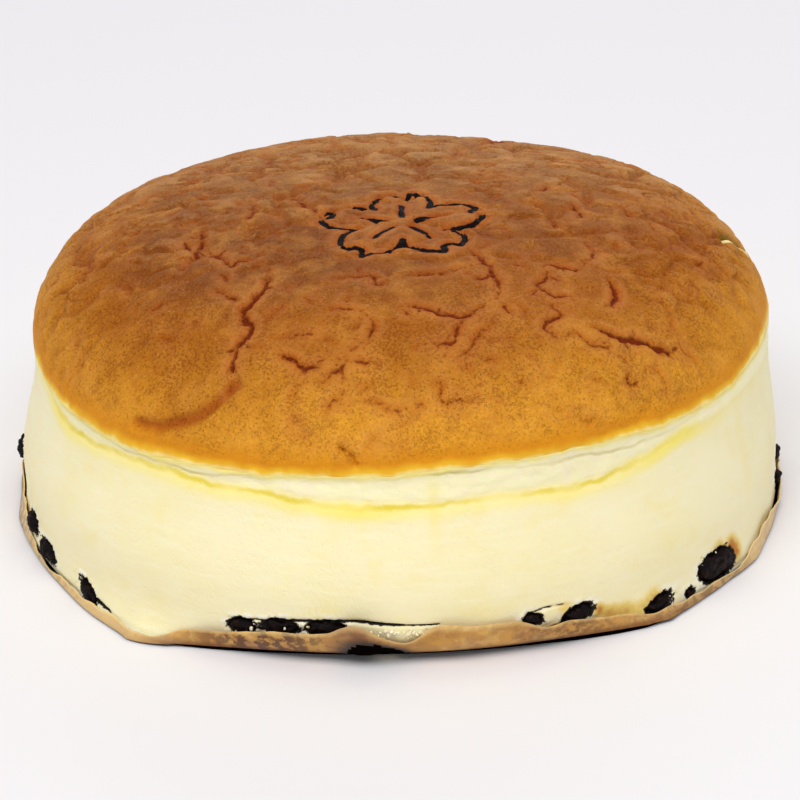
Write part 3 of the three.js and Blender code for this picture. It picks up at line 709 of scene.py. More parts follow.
CRUST_RINGS = 400
CRUST_KEPT = 0.2  # share of the triangles that stays; the even parts give up the most
CRUST_HEM = [(0.1, 0.3), (0.3, 0.5), (6.0, 0.2)]  # inset and drop of the rings under the crust's edge
SOFT_FOLD = {
    "path": [(-34, -67), (-38, -68), (-42, -68), (-47, -66.5), (-52, -64), (-56, -61)], "half": 2.3,
    "depth": 1.1,
}
TORN_RIM = {
    "path": [(77.7, -0.1), (79.3, 1.2), (80.8, 2.2), (82.3, 3.5), (83.8, 4.5)], "half": 0.9, "height": 0.5,
}
TORN_HOLLOW = {"path": [(79.0, 3.6), (80.6, 5.4), (82.2, 7.2), (83.6, 8.8)], "half": 2.9, "depth": 1.9}
BROWNING_UP = [  # millimetres above the crust's edge, and how much browner than golden
    (0, -0.6), (6, -0.5), (10, -0.32), (16, -0.05), (24, 0.35), (31, 0.75), (40, 1.15), (50, 1.5), (62, 1.6),
]
BROWNING = [  # x, y, spread, and how much browner than that
    (-34, -20, 22, 0.7), (-60, -30, 18, 0.35), (68, -14, 16, 0.3), (64, 22, 20, -0.4), (-66, 26, 20, 0.1),
    (-45, -68, 9, 0.2), (4, 50, 30, -0.2),
]
SWELLING = {"calm_from": -60, "full_at": -8, "least": 0.2}  # the soft folds fade towards the front
# painted highlight: azimuth and how many millimetres higher the pale hem reaches, round the right rear where
# back light catches the crust's edge
BACKLIT_HEM_RISE = [(-180, 0), (-40, 0), (-24, 0.8), (-4, 2.2), (8, 3.6), (24, 5.0), (40, 5.0), (54, 1.0), (150, 0)]
FAR_SHEEN = {"from": -25, "to": 45}  # painted sheen: the far crust is painted paler on its folds, where back light grazes it


def path_gap(points, path, margin=6.0):
    """Distance from each point to a line on the crust, told apart within a margin."""
    places, _, _ = spline(path, CRACK_SAMPLE)
    places = np.column_stack((places, cap_height(places[:, 0], places[:, 1])))
    beside = (points > places.min(axis=0) - margin) & (points < places.max(axis=0) + margin)
    rows = np.flatnonzero(beside.all(axis=1))
    gap = np.full(len(points), margin)
    gap[rows] = np.minimum(margin, np.linalg.norm(points[rows, None, :] - places[None], axis=2).min(axis=1))
    return gap


def crust_mesh():
    number, angle, faces = disc_rings(CRUST_RINGS)
    latitude = np.linspace(0, np.pi / 2, 4001)
    meridian = cap_point(np.zeros_like(latitude), latitude)
    along = np.concatenate(([0], np.cumsum(np.linalg.norm(np.diff(meridian, axis=0), axis=1))))
    above_edge = along[-1] * (1 - number / CRUST_RINGS)
    points = cap_point(angle, np.interp(above_edge, along, latitude))
    rim = 6 * CRUST_RINGS
    rim_angle = angle[-rim:]
    start = len(points) - rim
    for inset, drop in CRUST_HEM:
        radius = rim_radius(rim_angle) - inset
        ring = np.column_stack((
            CAP_SHIFT[0] + radius * np.cos(rim_angle),
            CAP_SHIFT[1] + radius * np.sin(rim_angle),
            edge_height(rim_angle) - drop,
        ))
        faces += strip_faces(start, len(points), rim)
        start = len(points)
        points = np.vstack((points, ring))
        above_edge = np.concatenate((above_edge, np.full(rim, -drop)))
    pole = [CAP_SHIFT[0], CAP_SHIFT[1], CRUST_EDGE_HEIGHT]
    faces += fan_faces(len(points), start, rim, upwards=False)
    points = np.vstack((points, pole))
    above_edge = np.append(above_edge, -5.0)

    x, y = points[:, 0], points[:, 1]
    fields = line_fields(points)
    fields["above_edge"] = above_edge
    fields["hem"] = above_edge - ring_values(np.arctan2(y, x), BACKLIT_HEM_RISE)
    fields["browning"] = np.interp(above_edge, *np.transpose(BROWNING_UP)) + mounds(x, y, BROWNING)
    swelling = smooth(SWELLING["calm_from"], SWELLING["full_at"], y) * smooth(4, 22, above_edge)
    fields["swelling"] = mix(SWELLING["least"], 1, swelling)
    fields["far"] = smooth(FAR_SHEEN["from"], FAR_SHEEN["to"], y)
    fields["soft_fold"] = smooth(SOFT_FOLD["half"], 0.2, path_gap(points, SOFT_FOLD["path"]))
    fields["torn_rim"] = path_gap(points, TORN_RIM["path"])
    fields["torn_hollow"] = path_gap(points, TORN_HOLLOW["path"])
    return make_mesh("cake_crust", points, faces, fields)


def crust_relief():
    sizes = {
        "Crack depth": 1.0, "Lip height": 0.2, "Fold depth": 1.25, "Pleat depth": 0.45, "Wrinkle height": 1.0,
        "Grain height": 0.14,
    }
    board, given, result = relief_tree("crust relief", sizes)
    place = place_in_mm(board)
    swelling = board.field("swelling")

    drift = board.vector("SUBTRACT", board.noise(place, 10.0, 2.0, output=1), (0.5, 0.5, 0.5))
    bent = board.vector("ADD", place, board.scaled(drift, 9.0))
    longer = board.vector("MULTIPLY", bent, (0.7, 1.0, 1.0))
    between_swells = board.cells(longer, 11.0, "DISTANCE_TO_EDGE").outputs["Distance"]
    patches = board.step(board.noise(place, 17.0, 1.0), 0.36, 0.58)
    valley = board.math("MULTIPLY", board.step(between_swells, 0.16, 0.0), patches)
    fold = board.math("MULTIPLY", valley, swelling)
    wrinkle_place = board.vector("MULTIPLY", bent, (0.5, 1.0, 1.0))
    wrinkles = board.math("SUBTRACT", board.noise(wrinkle_place, 4.2, 2.0, 0.55), 0.5)
    thin_pleats = board.step(board.math("ABSOLUTE", wrinkles), 0.06, 0.0)
    pleat_patches = board.step(board.noise(place, 9.0, 1.0), 0.42, 0.6)
    pleats = board.math("MULTIPLY", board.math("MULTIPLY", thin_pleats, pleat_patches), swelling)
    wrinkles = board.math("MULTIPLY", wrinkles, swelling)

    groove = board.math("MULTIPLY", board.field("groove"), given["Crack depth"])
    lip = board.math("MULTIPLY", board.field("lip"), given["Lip height"])
    small = board.math("SUBTRACT", board.noise(place, 1.9, 3.0, 0.6), 0.5)
    broad = board.math("MULTIPLY", board.math("SUBTRACT", board.noise(place, 14.0, 1.0), 0.5), 0.7)
    tear = board.step(board.field("torn_hollow"), TORN_HOLLOW["half"] + 0.8, 0.6, 0.0, TORN_HOLLOW["depth"])
    tear_rim = board.step(board.field("torn_rim"), TORN_RIM["half"] + 1.2, 0.2, 0.0, TORN_RIM["height"])

    raised = board.math("ADD", board.math("MULTIPLY", wrinkles, given["Wrinkle height"]), lip)
    raised = board.math("ADD", raised, board.math("MULTIPLY", small, given["Grain height"]))
    raised = board.math("ADD", raised, board.math("ADD", broad, tear_rim))
    lowered = board.math("ADD", groove, board.math("MULTIPLY", fold, given["Fold depth"]))
    lowered = board.math("ADD", lowered, board.math("MULTIPLY", pleats, given["Pleat depth"]))
    lowered = board.math("ADD", lowered, tear)
    lowered = board.math("ADD", lowered, board.math("MULTIPLY", board.field("soft_fold"), SOFT_FOLD["depth"]))
    outside = board.step(board.field("above_edge"), -0.3, 1.6)
    height = board.math("MULTIPLY", board.math("SUBTRACT", raised, lowered), outside)
    kept = given["Geometry"]
    for label, value in (("fold", board.math("MAXIMUM", fold, pleats)), ("wrinkle", wrinkles)):
        stored = {"Geometry": kept, "Name": label, "Value": value}
        kept = board.add("GeometryNodeStoreNamedAttribute", stored).outputs[0]
    close_tree(board, given, result, pushed_out(board, kept, height))
    return board.tree


def crust_finish():
    material, board, shader = new_material("browned crust", 0.6, IOR=1.4, Specular_IOR_Level=0.12)
    place = place_in_mm(board)
    grain = board.group(GRAIN, **{"Place": place, "Grain size": 0.62})

    patches = board.math("SUBTRACT", board.noise(place, 20.0, 2.0), 0.5)
    browning = board.math("ADD", board.field("browning"), board.math("MULTIPLY", patches, 0.9))
    color = board.blend(board.step(browning, -0.95, 0.95), paint(232, 160, 44), paint(164, 94, 16))
    color = board.blend(board.step(browning, 0.8, 2.0), color, paint(128, 72, 26))
    freckles = board.group(BLOTCHES, Place=place, Size=2.8, Low=0.4, High=0.72).outputs[0]
    color = board.blend(board.math("MULTIPLY", freckles, 0.3), color, paint(162, 80, 20))
    mottles = board.group(
        BLOTCHES, Place=board.vector("ADD", place, (9.0, 70.0, 0.0)), Size=7.0, Low=0.45, High=0.7,
    )
    color = board.blend(board.math("MULTIPLY", mottles.outputs[0], 0.24), color, paint(230, 158, 62))
    # painted sheen: the far side is blended paler, where back light grazes the crust
    far = board.field("far")
    color = board.blend(board.math("MULTIPLY", far, 0.4), color, paint(192, 154, 102))
    # painted highlight: the tops of the wrinkles are painted paler, most on the far side
    sheen_tops = board.step(board.field("wrinkle"), 0.02, 0.2)
    sheen_tops = board.math("MULTIPLY", sheen_tops, board.step(far, 0.0, 1.0, 0.25, 0.75))
    color = board.blend(sheen_tops, color, paint(196, 142, 86))
    # painted shade: the fold hollows and wrinkle valleys are painted a darker red-brown
    shaded_hollows = board.math(
        "ADD", board.field("fold"), board.step(board.field("wrinkle"), -0.05, -0.22, 0.0, 0.6),
    )
    color = board.blend(board.math("MULTIPLY", shaded_hollows, 0.7), color, paint(142, 68, 16))

    tone = board.step(grain.outputs["Tone"], 0.3, 0.7, 0.84, 1.14)
    shade = board.add("ShaderNodeCombineColor", {0: tone, 1: tone, 2: tone}).outputs[0]
    color = board.blend(1.0, color, shade, "MULTIPLY")
    pits = board.math("MULTIPLY", grain.outputs["Pits"], board.step(browning, -0.7, 0.5, 0.08, 0.42))
    color = board.blend(pits, color, paint(142, 60, 18))
    color = board.blend(board.math("MULTIPLY", grain.outputs["Specks"], 0.32), color, paint(220, 150, 74))

    ragged = board.math("SUBTRACT", board.noise(place, 0.8, 3.0, 0.7), 0.5)
    glow = board.math("MULTIPLY", board.field("glow"), board.step(ragged, -0.3, 0.2, 0.45, 0.9))
    color = board.blend(glow, color, paint(172, 78, 18))
    # painted shade: the soft fold's hollow is painted red-brown as well as sunk
    color = board.blend(board.math("MULTIPLY", board.field("soft_fold"), 0.75), color, paint(160, 70, 14))
    # painted highlight: a paler rim beside each crack, where its raised lip catches the light
    color = board.blend(board.math("MULTIPLY", board.field("lip"), 0.2), color, paint(230, 166, 88))
    crack = board.math("ADD", board.field("crack"), board.math("MULTIPLY", ragged, 0.45))
    crack = board.step(crack, 0.1, 0.75)
    color = board.blend(crack, color, paint(120, 42, 9))
    burn = board.math("ADD", board.field("burn"), board.math("MULTIPLY", ragged, 0.3))
    burn = board.step(burn, 0.26, 0.46)
    color = board.blend(burn, color, paint(14, 6, 5))

    wave = board.math("MULTIPLY", board.math("SUBTRACT", board.noise(place, 12.0, 2.0), 0.5), 2.6)
    fray = board.math("MULTIPLY", board.math("SUBTRACT", board.noise(place, 2.5, 3.0), 0.5), 0.9)
    # the hem's golden, yellow and cream bands; round the right rear they reach higher as a painted highlight
    hem = board.math("ADD", board.field("hem"), board.math("ADD", wave, fray))
    patchy = board.step(board.noise(place, 9.0, 2.0), 0.35, 0.6, 0.55, 1.0)
    color = board.blend(board.step(hem, 6.5, 1.4, 0.0, 0.8), color, paint(220, 140, 18))
    color = board.blend(board.math("MULTIPLY", board.step(hem, 2.2, 0.2), patchy), color, paint(240, 190, 48))
    color = board.blend(
        board.math("MULTIPLY", board.step(hem, 0.7, -0.3), patchy), color, paint(250, 232, 150),
    )
    # painted shade: the torn hollow beyond the bright strip is painted dark olive
    torn = board.math("ADD", board.field("torn_hollow"), board.math("MULTIPLY", ragged, 0.8))
    color = board.blend(board.step(torn, TORN_HOLLOW["half"] + 0.4, 1.8), color, paint(138, 102, 22))
    torn = board.math("ADD", board.field("torn_rim"), board.math("MULTIPLY", ragged, 0.4))
    color = board.blend(board.step(torn, TORN_RIM["half"] + 0.3, 0.5), color, paint(255, 236, 160))
    board.feed(shader.inputs["Base Color"], color)

    height = board.math(
        "SUBTRACT", board.math("MULTIPLY", grain.outputs["Height"], 0.25), board.math("MULTIPLY", crack, 0.3),
    )
    bumped(board, shader, board.math("MULTIPLY", height, board.step(hem, 0.5, 4.0)))
    return material


# ---------------------------------------------------------------- raisins' places


RAISIN_DROP = {"raisin_04": 1.1, "raisin_10": 0.7, "raisin_11": 0.7}  # those that have sunk into the paper


def raisin_rows():
    """Centre, three axes and three half sizes of each raisin of the frame, its last axis outwards."""
    for name in sorted(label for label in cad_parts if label.startswith("raisin_")):
        corners = np.array([vertex.co[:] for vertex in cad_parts[name].data.vertices]) / MM
        centre = (corners.min(axis=0) + corners.max(axis=0)) / 2
        azimuth = math.atan2(centre[1], centre[0])
        outward = np.array((math.cos(azimuth), math.sin(azimuth), 0.0))
        around = np.array((-math.sin(azimuth), math.cos(azimuth), 0.0))
        flat = np.column_stack(((corners - centre) @ around, corners[:, 2] - centre[2]))
        lean = np.linalg.eigh(flat.T @ flat)[1][:, 1]
        lean = lean * np.sign(lean[0])
        axes = np.array((
            lean[0] * around + lean[1] * np.array((0, 0, 1.0)),
            -lean[1] * around + lean[0] * np.array((0, 0, 1.0)),
            outward,
        ))
        halves = np.abs((corners - centre) @ axes.T).max(axis=0)
        yield name, centre - np.array((0, 0, RAISIN_DROP.get(name, 0))), axes, halves


RAISINS = list(raisin_rows())


def raisin_gap(points):
    """Distance in the plane of the side from each point to the nearest raisin's outline."""
    nearest = np.full(len(points), 60.0)
    for _, centre, axes, halves in RAISINS:
        local = (points - centre) @ axes.T
        reach = np.hypot(local[:, 0] / halves[0], local[:, 1] / halves[1])
        gap = (reach - 1) * min(halves[0], halves[1])
        beside = np.abs(local[:, 2]) < 12
        nearest = np.where(beside, np.minimum(nearest, gap), nearest)
    return nearest


# ---------------------------------------------------------------- sponge

AROUND = 1440
CRUMB_KEPT = 0.55
CREASE = [  # azimuth, drop below the wavy edge
    (-162, 0.6), (-157, 2.4), (-152, 4.2), (-148, 5.0), (-138, 3.4), (-131, 2.8), (-126, 2.6),
    (-117, 4.0), (-110, 4.2), (-102, 6.4), (-97, 6.9), (-91, 7.4), (-87, 7.7), (-79, 6.8),
    (-73, 7.0), (-67, 7.8), (-62, 7.9), (-57, 5.8), (-52, 5.2), (-47, 2.6), (-40, 3.8), (-28, 3.0),
    (-12, 4.6), (6, 3.4), (24, 5.2), (47, 4.2), (66, 5.8), (88, 4.4), (110, 5.6), (133, 3.6),
    (152, 4.8), (174, 3.0), (-175, 1.6), (-169, 0.8),
]
CREASE_DEPTH = [  # azimuth and share of the crease's depth; it closes where neck and side merge
    (-178, 0.35), (-162, 0.5), (-150, 1.0), (-60, 1.0), (-50, 0.7), (-43, 0.2), (-20, 0.1), (0, 0.2),
    (16, 0.8), (150, 0.9), (168, 0.5),
]
CREASE_GLOW = [  # azimuth and strength of the yellow round the crease
    (-176, 0.3), (-152, 0.8), (-140, 0.5), (-125, 0.6), (-104, 0.7), (-97, 1.0), (-88, 0.5), (-78, 0.4),
    (-68, 0.7), (-60, 0.5), (-52, 0.9), (-46, 1.1), (-40, 0.3), (-20, 0.1), (10, 0.4), (60, 0.8), (120, 0.5),
]
LEDGE_DROP = 1.0
LEDGE_WAVES = [(5, 0.45, 20), (11, 0.3, 70), (17, 0.25, 10), (29, 0.2, 40)]
LEDGE_PARTS = [(-128, 24), (-84, 8), (-58, 12), (20, 16), (100, 24)]  # azimuth and spread of where it shows
NECK_INSET = 0.5
FOOT_INSET = 0.6
SEAMS = [  # half width, darkness, and azimuth and height of the points of thin dark openings; the first is painted shade in the crevice where the sponge overhangs
    (
        0.42, 1.0,
        [(-113, 8.8), (-107, 9.9), (-101, 10.7), (-96.5, 10.9), (-93, 10.3), (-88, 9.9), (-85.5, 9.9)],
    ),
    (0.3, 0.8, [(-74, 9.9), (-70, 10.4), (-68, 10.2)]),
    (0.5, 1.0, [(-70.4, 5.0), (-68.8, 5.3), (-67.3, 6.2)]),
    (0.42, 1.0, [(-139.5, 2.6), (-137, 2.0), (-134.5, 1.6)]),
]
STAINS = [  # azimuth, height, spread, strength of juice soaked into the sponge
    (-62.8, 6.9, 1.4, 0.8), (-61, 5.4, 2.0, 0.6), (-58.5, 4.6, 2.4, 0.55), (-56, 4.0, 2.0, 0.4),
    (-39.5, 8.0, 2.3, 0.7), (-36, 6.8, 2.4, 0.9), (-34.5, 4.4, 2.3, 0.8), (-53.5, 5.0, 2.6, 0.6),
    (-72.5, 7.7, 3.4, 0.3), (-68, 9.2, 2.0, 0.4), (-175.5, 11.0, 2.6, 0.75), (-175.5, 6.5, 4.0, 0.35),
    (-163, 5.0, 2.6, 0.3), (-108, 6.0, 3.0, 0.4),
    (-52.5, 1.6, 1.2, 0.7), (40, 6, 3.0, 0.5), (96, 5, 2.6, 0.6), (141, 6, 2.6, 0.5),
]
DRIPS = [  # azimuth, spread, from, to, strength
    (-85.5, 0.9, 28, 40, 0.5), (-30, 1.3, 15, 36, 0.28), (70, 1.2, 18, 38, 0.4),
]


def side_marks(points):
    """Seams (the first one painted shade in a crevice), stains and yellow drips of the sponge's side at each
    point.
    """
    azimuth, height = np.arctan2(points[:, 1], points[:, 0]), points[:, 2]
    flat = np.column_stack((azimuth * BELLY_RADIUS, height))
    seam, stain = np.zeros(len(points)), np.zeros(len(points))
    for half, dark, rows in SEAMS:
        path = np.array(rows, float) * (math.radians(1) * BELLY_RADIUS, 1)
        places, share, _ = spline(path, 0.4)
        inside = (flat > places.min(axis=0) - 3) & (flat < places.max(axis=0) + 3)
        near = np.flatnonzero(inside.all(axis=1))
        apart = np.linalg.norm(flat[near, None, :] - places[None], axis=2)
        found = apart.argmin(axis=1)
        wide = half * (0.3 + 0.7 * np.sin(np.pi * share) ** 0.5)[found]
        seam[near] = np.maximum(seam[near], dark * np.exp(-((apart.min(axis=1) / wide) ** 2)))
    for at, level, spread, strength in STAINS:
        across = np.radians(turn_from(azimuth, at)) * BELLY_RADIUS
        stain += strength * np.exp(-(across**2 + (height - level) ** 2) / spread**2)
    drip = sum(
        strength * bump_at(azimuth, at, spread) * smooth(low - 4, low + 4, height) * smooth(
            high + 2, high - 2, height,
        )
        for at, spread, low, high, strength in DRIPS
    )
    return {"seam": seam, "stain": stain, "drip": drip}


def crumb_mesh():
    angle = np.arange(AROUND) / AROUND * 2 * np.pi
    edge = edge_height(angle)
    crease = wavy_edge(angle) - ring_values(angle, CREASE)
    crease_depth = ring_values(angle, CREASE_DEPTH)
    low_rows = np.full(AROUND, CAKE_UNDERSIDE)
    heights = [mix(low_rows, crease - 1.6, share) for share in np.linspace(0, 1, 92) ** 1.1]
    heights += [mix(crease - 1.6, crease + 1.4, share) for share in np.linspace(0, 1, 15)[1:]]
    heights += [mix(crease + 1.4, edge - 0.25, share) for share in np.linspace(0, 1, 17)[1:]]
    rings = [side_point(angle, low_rows, inset=30.0)]
    for height in heights:
        neck = smooth(crease - 0.6, crease + 1.4, height) * smooth(edge, edge - 2.6, height)
        notch = 0.35 * crease_depth * np.exp(-(((height - crease) / 1.1) ** 2))
        with_rim = waves(angle, RIM_WAVES) * smooth(crease, edge, height)
        in_paper = FOOT_INSET * smooth(2.0, CAKE_UNDERSIDE, height)
        rings.append(side_point(
            angle, height, inset=NECK_INSET * neck * crease_depth + notch + in_paper - with_rim,
        ))
    rings.append(side_point(angle, edge + 0.5, inset=7.0))
    points = np.vstack((*rings, (0, 0, CAKE_UNDERSIDE), (*CAP_SHIFT, CRUST_EDGE_HEIGHT + 4)))
    faces = []
    for ring in range(len(rings) - 1):
        faces += strip_faces((ring + 1) * AROUND, ring * AROUND, AROUND)
    last_ring = (len(rings) - 1) * AROUND
    faces += fan_faces(len(points) - 2, 0, AROUND, upwards=False)
    faces += fan_faces(len(points) - 1, last_ring, AROUND, upwards=True)

    turns = np.concatenate((np.tile(angle, len(rings)), (0, 0)))
    height = points[:, 2]
    gap = raisin_gap(points)
    fields = {
        "below_crust": edge_height(turns) - height,
        "from_crease": height - wavy_edge(turns) + ring_values(turns, CREASE),
        "crease_depth": ring_values(turns, CREASE_DEPTH),
        "crease_glow": ring_values(turns, CREASE_GLOW),
        "from_ledge": height - wavy_edge(turns) + LEDGE_DROP + waves(turns, LEDGE_WAVES),
        "ledge": sum(bump_at(turns, azimuth, spread) for azimuth, spread in LEDGE_PARTS),
        "raisin_gap": gap,
        **side_marks(points),
    }
    outward = np.column_stack((np.cos(turns), np.sin(turns), np.zeros(len(points))))
    bed = smooth(0.25, -0.45, gap) * smooth(0.5, 2.0, height) * smooth(40, 30, height)
    sunk = 1.1 * bed + 0.9 * fields["seam"]
    points = points - outward * sunk[:, None]
    return make_mesh("cake_crumb", points, faces, fields)


def crumb_relief():
    sizes = {
        "Layer height": 0.14, "Lump height": 0.5, "Crumb height": 0.09, "Neck lumps": 0.9,
        "Ledge depth": 0.22,
    }
    board, given, result = relief_tree("sponge relief", sizes)
    place = place_in_mm(board)
    flat_place = board.vector("MULTIPLY", place, (0.14, 0.14, 1.0))
    layers = board.math("SUBTRACT", board.noise(flat_place, 1.4, 3.0), 0.5)
    lumps = board.math("SUBTRACT", board.noise(place, 14.0, 2.0), 0.5)
    small = board.math("SUBTRACT", board.noise(place, 1.8, 3.0, 0.6), 0.5)
    height = board.math("MULTIPLY", layers, given["Layer height"])
    height = board.math("ADD", height, board.math("MULTIPLY", lumps, given["Lump height"]))
    height = board.math("ADD", height, board.math("MULTIPLY", small, given["Crumb height"]))
    on_neck = board.math("MULTIPLY", board.step(board.field("from_crease"), -0.5, 1.5), given["Neck lumps"])
    folded = board.math(
        "SUBTRACT", board.noise(board.vector("MULTIPLY", place, (1.0, 1.0, 1.6)), 4.6, 2.0), 0.5,
    )
    height = board.math("ADD", height, board.math("MULTIPLY", folded, on_neck))
    ledge = board.step(board.math("ABSOLUTE", board.field("from_ledge")), 0.6, 0.0)
    broken = board.math("MULTIPLY", board.field("ledge"), board.step(board.noise(place, 7.0, 2.0), 0.42, 0.6))
    ledge = board.math("MULTIPLY", board.math("MULTIPLY", ledge, broken), given["Ledge depth"])
    height = board.math("SUBTRACT", height, ledge)
    ragged = board.math("SUBTRACT", board.noise(place, 1.3, 3.0, 0.7), 0.45)
    beside = board.step(board.field("raisin_gap"), 1.9, 0.3, 0.0, 1.5)
    height = board.math("ADD", height, board.math("MULTIPLY", ragged, beside))
    below = board.step(board.field("below_crust"), 0.0, 0.9)
    foot = board.step(board.add("ShaderNodeSeparateXYZ", {0: place}).outputs[2], 1.2, 3.6)
    height = board.math("MULTIPLY", height, board.math("MULTIPLY", below, foot))
    close_tree(board, given, result, pushed_out(board, given["Geometry"], height))
    return board.tree


def crumb_color(board, place):
    """Pale sponge with faint level strokes and soft yellow patches."""
    level = board.vector("MULTIPLY", place, (0.15, 0.15, 1.0))
    strokes = board.group(BLOTCHES, Place=level, Size=1.3, Low=0.48, High=0.7).outputs[0]
    patches = board.group(BLOTCHES, Place=place, Size=22.0, Low=0.3, High=0.7).outputs[0]
    apart = board.vector("ADD", place, (50.0, 0.0, 0.0))
    yellow = board.group(BLOTCHES, Place=apart, Size=9.0, Low=0.52, High=0.74).outputs[0]
    color = board.blend(patches, paint(250, 239, 197), paint(248, 236, 186))
    color = board.blend(board.math("MULTIPLY", yellow, 0.3), color, paint(248, 229, 140))
    return board.blend(board.math("MULTIPLY", strokes, 0.4), color, paint(251, 243, 208))


def crumb_finish():
    material, board, shader = new_material(
        "pale sponge", 0.6, IOR=1.36, Subsurface_Weight=0.3, Subsurface_Scale=0.003,
        Subsurface_Radius=(1.0, 0.75, 0.4),
    )
    place = place_in_mm(board)
    color = crumb_color(board, place)
    below, above_crease = board.field("below_crust"), board.field("from_crease")
    neck = board.math("MULTIPLY", board.step(above_crease, 0.2, 1.6), board.step(below, 0.3, 1.2))
    # partly painted light: the neck is blended paler, lifting the shade under the crust's edge
    color = board.blend(board.math("MULTIPLY", neck, 0.8), color, paint(254, 244, 198))
    pink = board.group(BLOTCHES, Place=place, Size=4.6, Low=0.48, High=0.68).outputs[0]
    color = board.blend(
        board.math("MULTIPLY", pink, board.math("MULTIPLY", neck, 0.5)), color, paint(252, 236, 206),
    )

    wave = board.math("SUBTRACT", board.noise(place, 6.0, 2.0), 0.5)
    fray = board.math("SUBTRACT", board.noise(place, 2.2, 2.0), 0.5)
    bent = board.math("ADD", above_crease, board.math("MULTIPLY", wave, 2.2))
    bent = board.math("ADD", bent, board.math("MULTIPLY", fray, 0.6))
    soft = board.step(board.math("ABSOLUTE", board.math("ADD", bent, 0.7)), 3.2, 0.2)
    soft = board.math("MULTIPLY", soft, board.math("MULTIPLY", board.field("crease_glow"), 0.85))
    color = board.blend(soft, color, paint(251, 231, 102))
    patchy = board.step(board.noise(place, 11.0, 3.0), 0.34, 0.66, 0.3, 0.9)
    thin = board.step(board.math("ABSOLUTE", bent), 0.9, 0.1)
    thin = board.math("MULTIPLY", board.math("MULTIPLY", thin, patchy), board.field("crease_depth"))
    color = board.blend(thin, color, paint(228, 206, 62))
    # painted shade: a broken olive line just under the crust, along the ledge's crevice
    from_ledge = board.math("ADD", board.field("from_ledge"), board.math("MULTIPLY", wave, 2.0))
    on_ledge = board.step(board.math("ABSOLUTE", from_ledge), 0.7, 0.05)
    ledge = board.math("MULTIPLY", board.math("MULTIPLY", on_ledge, patchy), board.field("ledge"))
    color = board.blend(board.math("MULTIPLY", ledge, 0.75), color, paint(186, 172, 78))
    hem = board.math("ADD", below, board.math("MULTIPLY", wave, 1.6))
    color = board.blend(board.step(hem, 1.9, 0.1, 0.0, 0.85), color, paint(250, 226, 120))
    color = board.blend(board.math("MULTIPLY", board.field("drip"), 0.7), color, paint(246, 226, 112))

    gap = board.field("raisin_gap")
    ragged = board.math("SUBTRACT", board.noise(place, 1.1, 3.0, 0.65), 0.5)
    torn = board.math("ADD", gap, board.math("MULTIPLY", ragged, 1.9))
    fringe = board.math(
        "MULTIPLY", board.step(torn, 1.7, 0.9), board.step(board.noise(place, 2.6, 1.0), 0.4, 0.55),
    )
    color = board.blend(board.math("MULTIPLY", fringe, 0.7), color, paint(251, 245, 224))
    stain = board.math("MULTIPLY", board.field("stain"), board.step(ragged, -0.35, 0.25, 0.8, 1.15))
    color = board.blend(board.step(stain, 0.05, 0.45, 0.0, 0.85), color, paint(232, 200, 92))
    color = board.blend(board.step(stain, 0.35, 0.95, 0.0, 0.95), color, paint(192, 116, 30))
    # near black: painted shade in the seams' crevices, and the raisins' ragged outlines torn into the sponge
    seam = board.step(board.math("ADD", board.field("seam"), board.math("MULTIPLY", ragged, 0.9)), 0.3, 0.5)
    dark = board.math("MAXIMUM", seam, board.step(torn, 0.42, 0.2))
    color = board.blend(dark, color, paint(20, 10, 8))
    board.feed(shader.inputs["Base Color"], color)
    grain = board.group(GRAIN, **{"Place": place, "Grain size": 0.9})
    bumped(board, shader, board.math("MULTIPLY", grain.outputs["Height"], 0.06))
    return material


# ---------------------------------------------------------------- raisins

RAISIN_SKIN = (0.25, 0.35, 0.0)  # room left for the wrinkles
SCRAPS = {"each": 3, "seed": 41}


def raisin_points():
    """One point for each raisin and for each scrap of raisin beside it, with its turn and half sizes."""
    draws = np.random.default_rng(SCRAPS["seed"])
    points, turns, halves, scraps = [], [], [], []
    for _, centre, axes, half in RAISINS:
        turn = Matrix(axes.T.tolist()).to_euler()
        points.append(centre + 0.3 * axes[2])
        turns.append(turn[:])
        halves.append(half - RAISIN_SKIN)
        scraps.append(0.0)
        for _ in range(SCRAPS["each"]):
            spread = draws.uniform(0, 2 * math.pi)
            beside = centre + 1.25 * half[0] * math.cos(spread) * axes[0]
            beside = beside + 1.2 * half[1] * math.sin(spread) * axes[1]
            height = max(2.2, beside[2])
            azimuth = math.atan2(beside[1], beside[0])
            surface = side_point(np.array(azimuth), np.array(height))
            points.append(surface - 0.15 * axes[2])
            turns.append(turn[:])
            halves.append(np.array((draws.uniform(0.5, 1.2), draws.uniform(0.35, 0.7), 0.45)))
            scraps.append(1.0)
    fields = {
        "turn": np.array(turns), "half": np.array(halves) * MM, "scrap": np.array(scraps),
    }
    return make_mesh("raisins", np.array(points), [], fields)


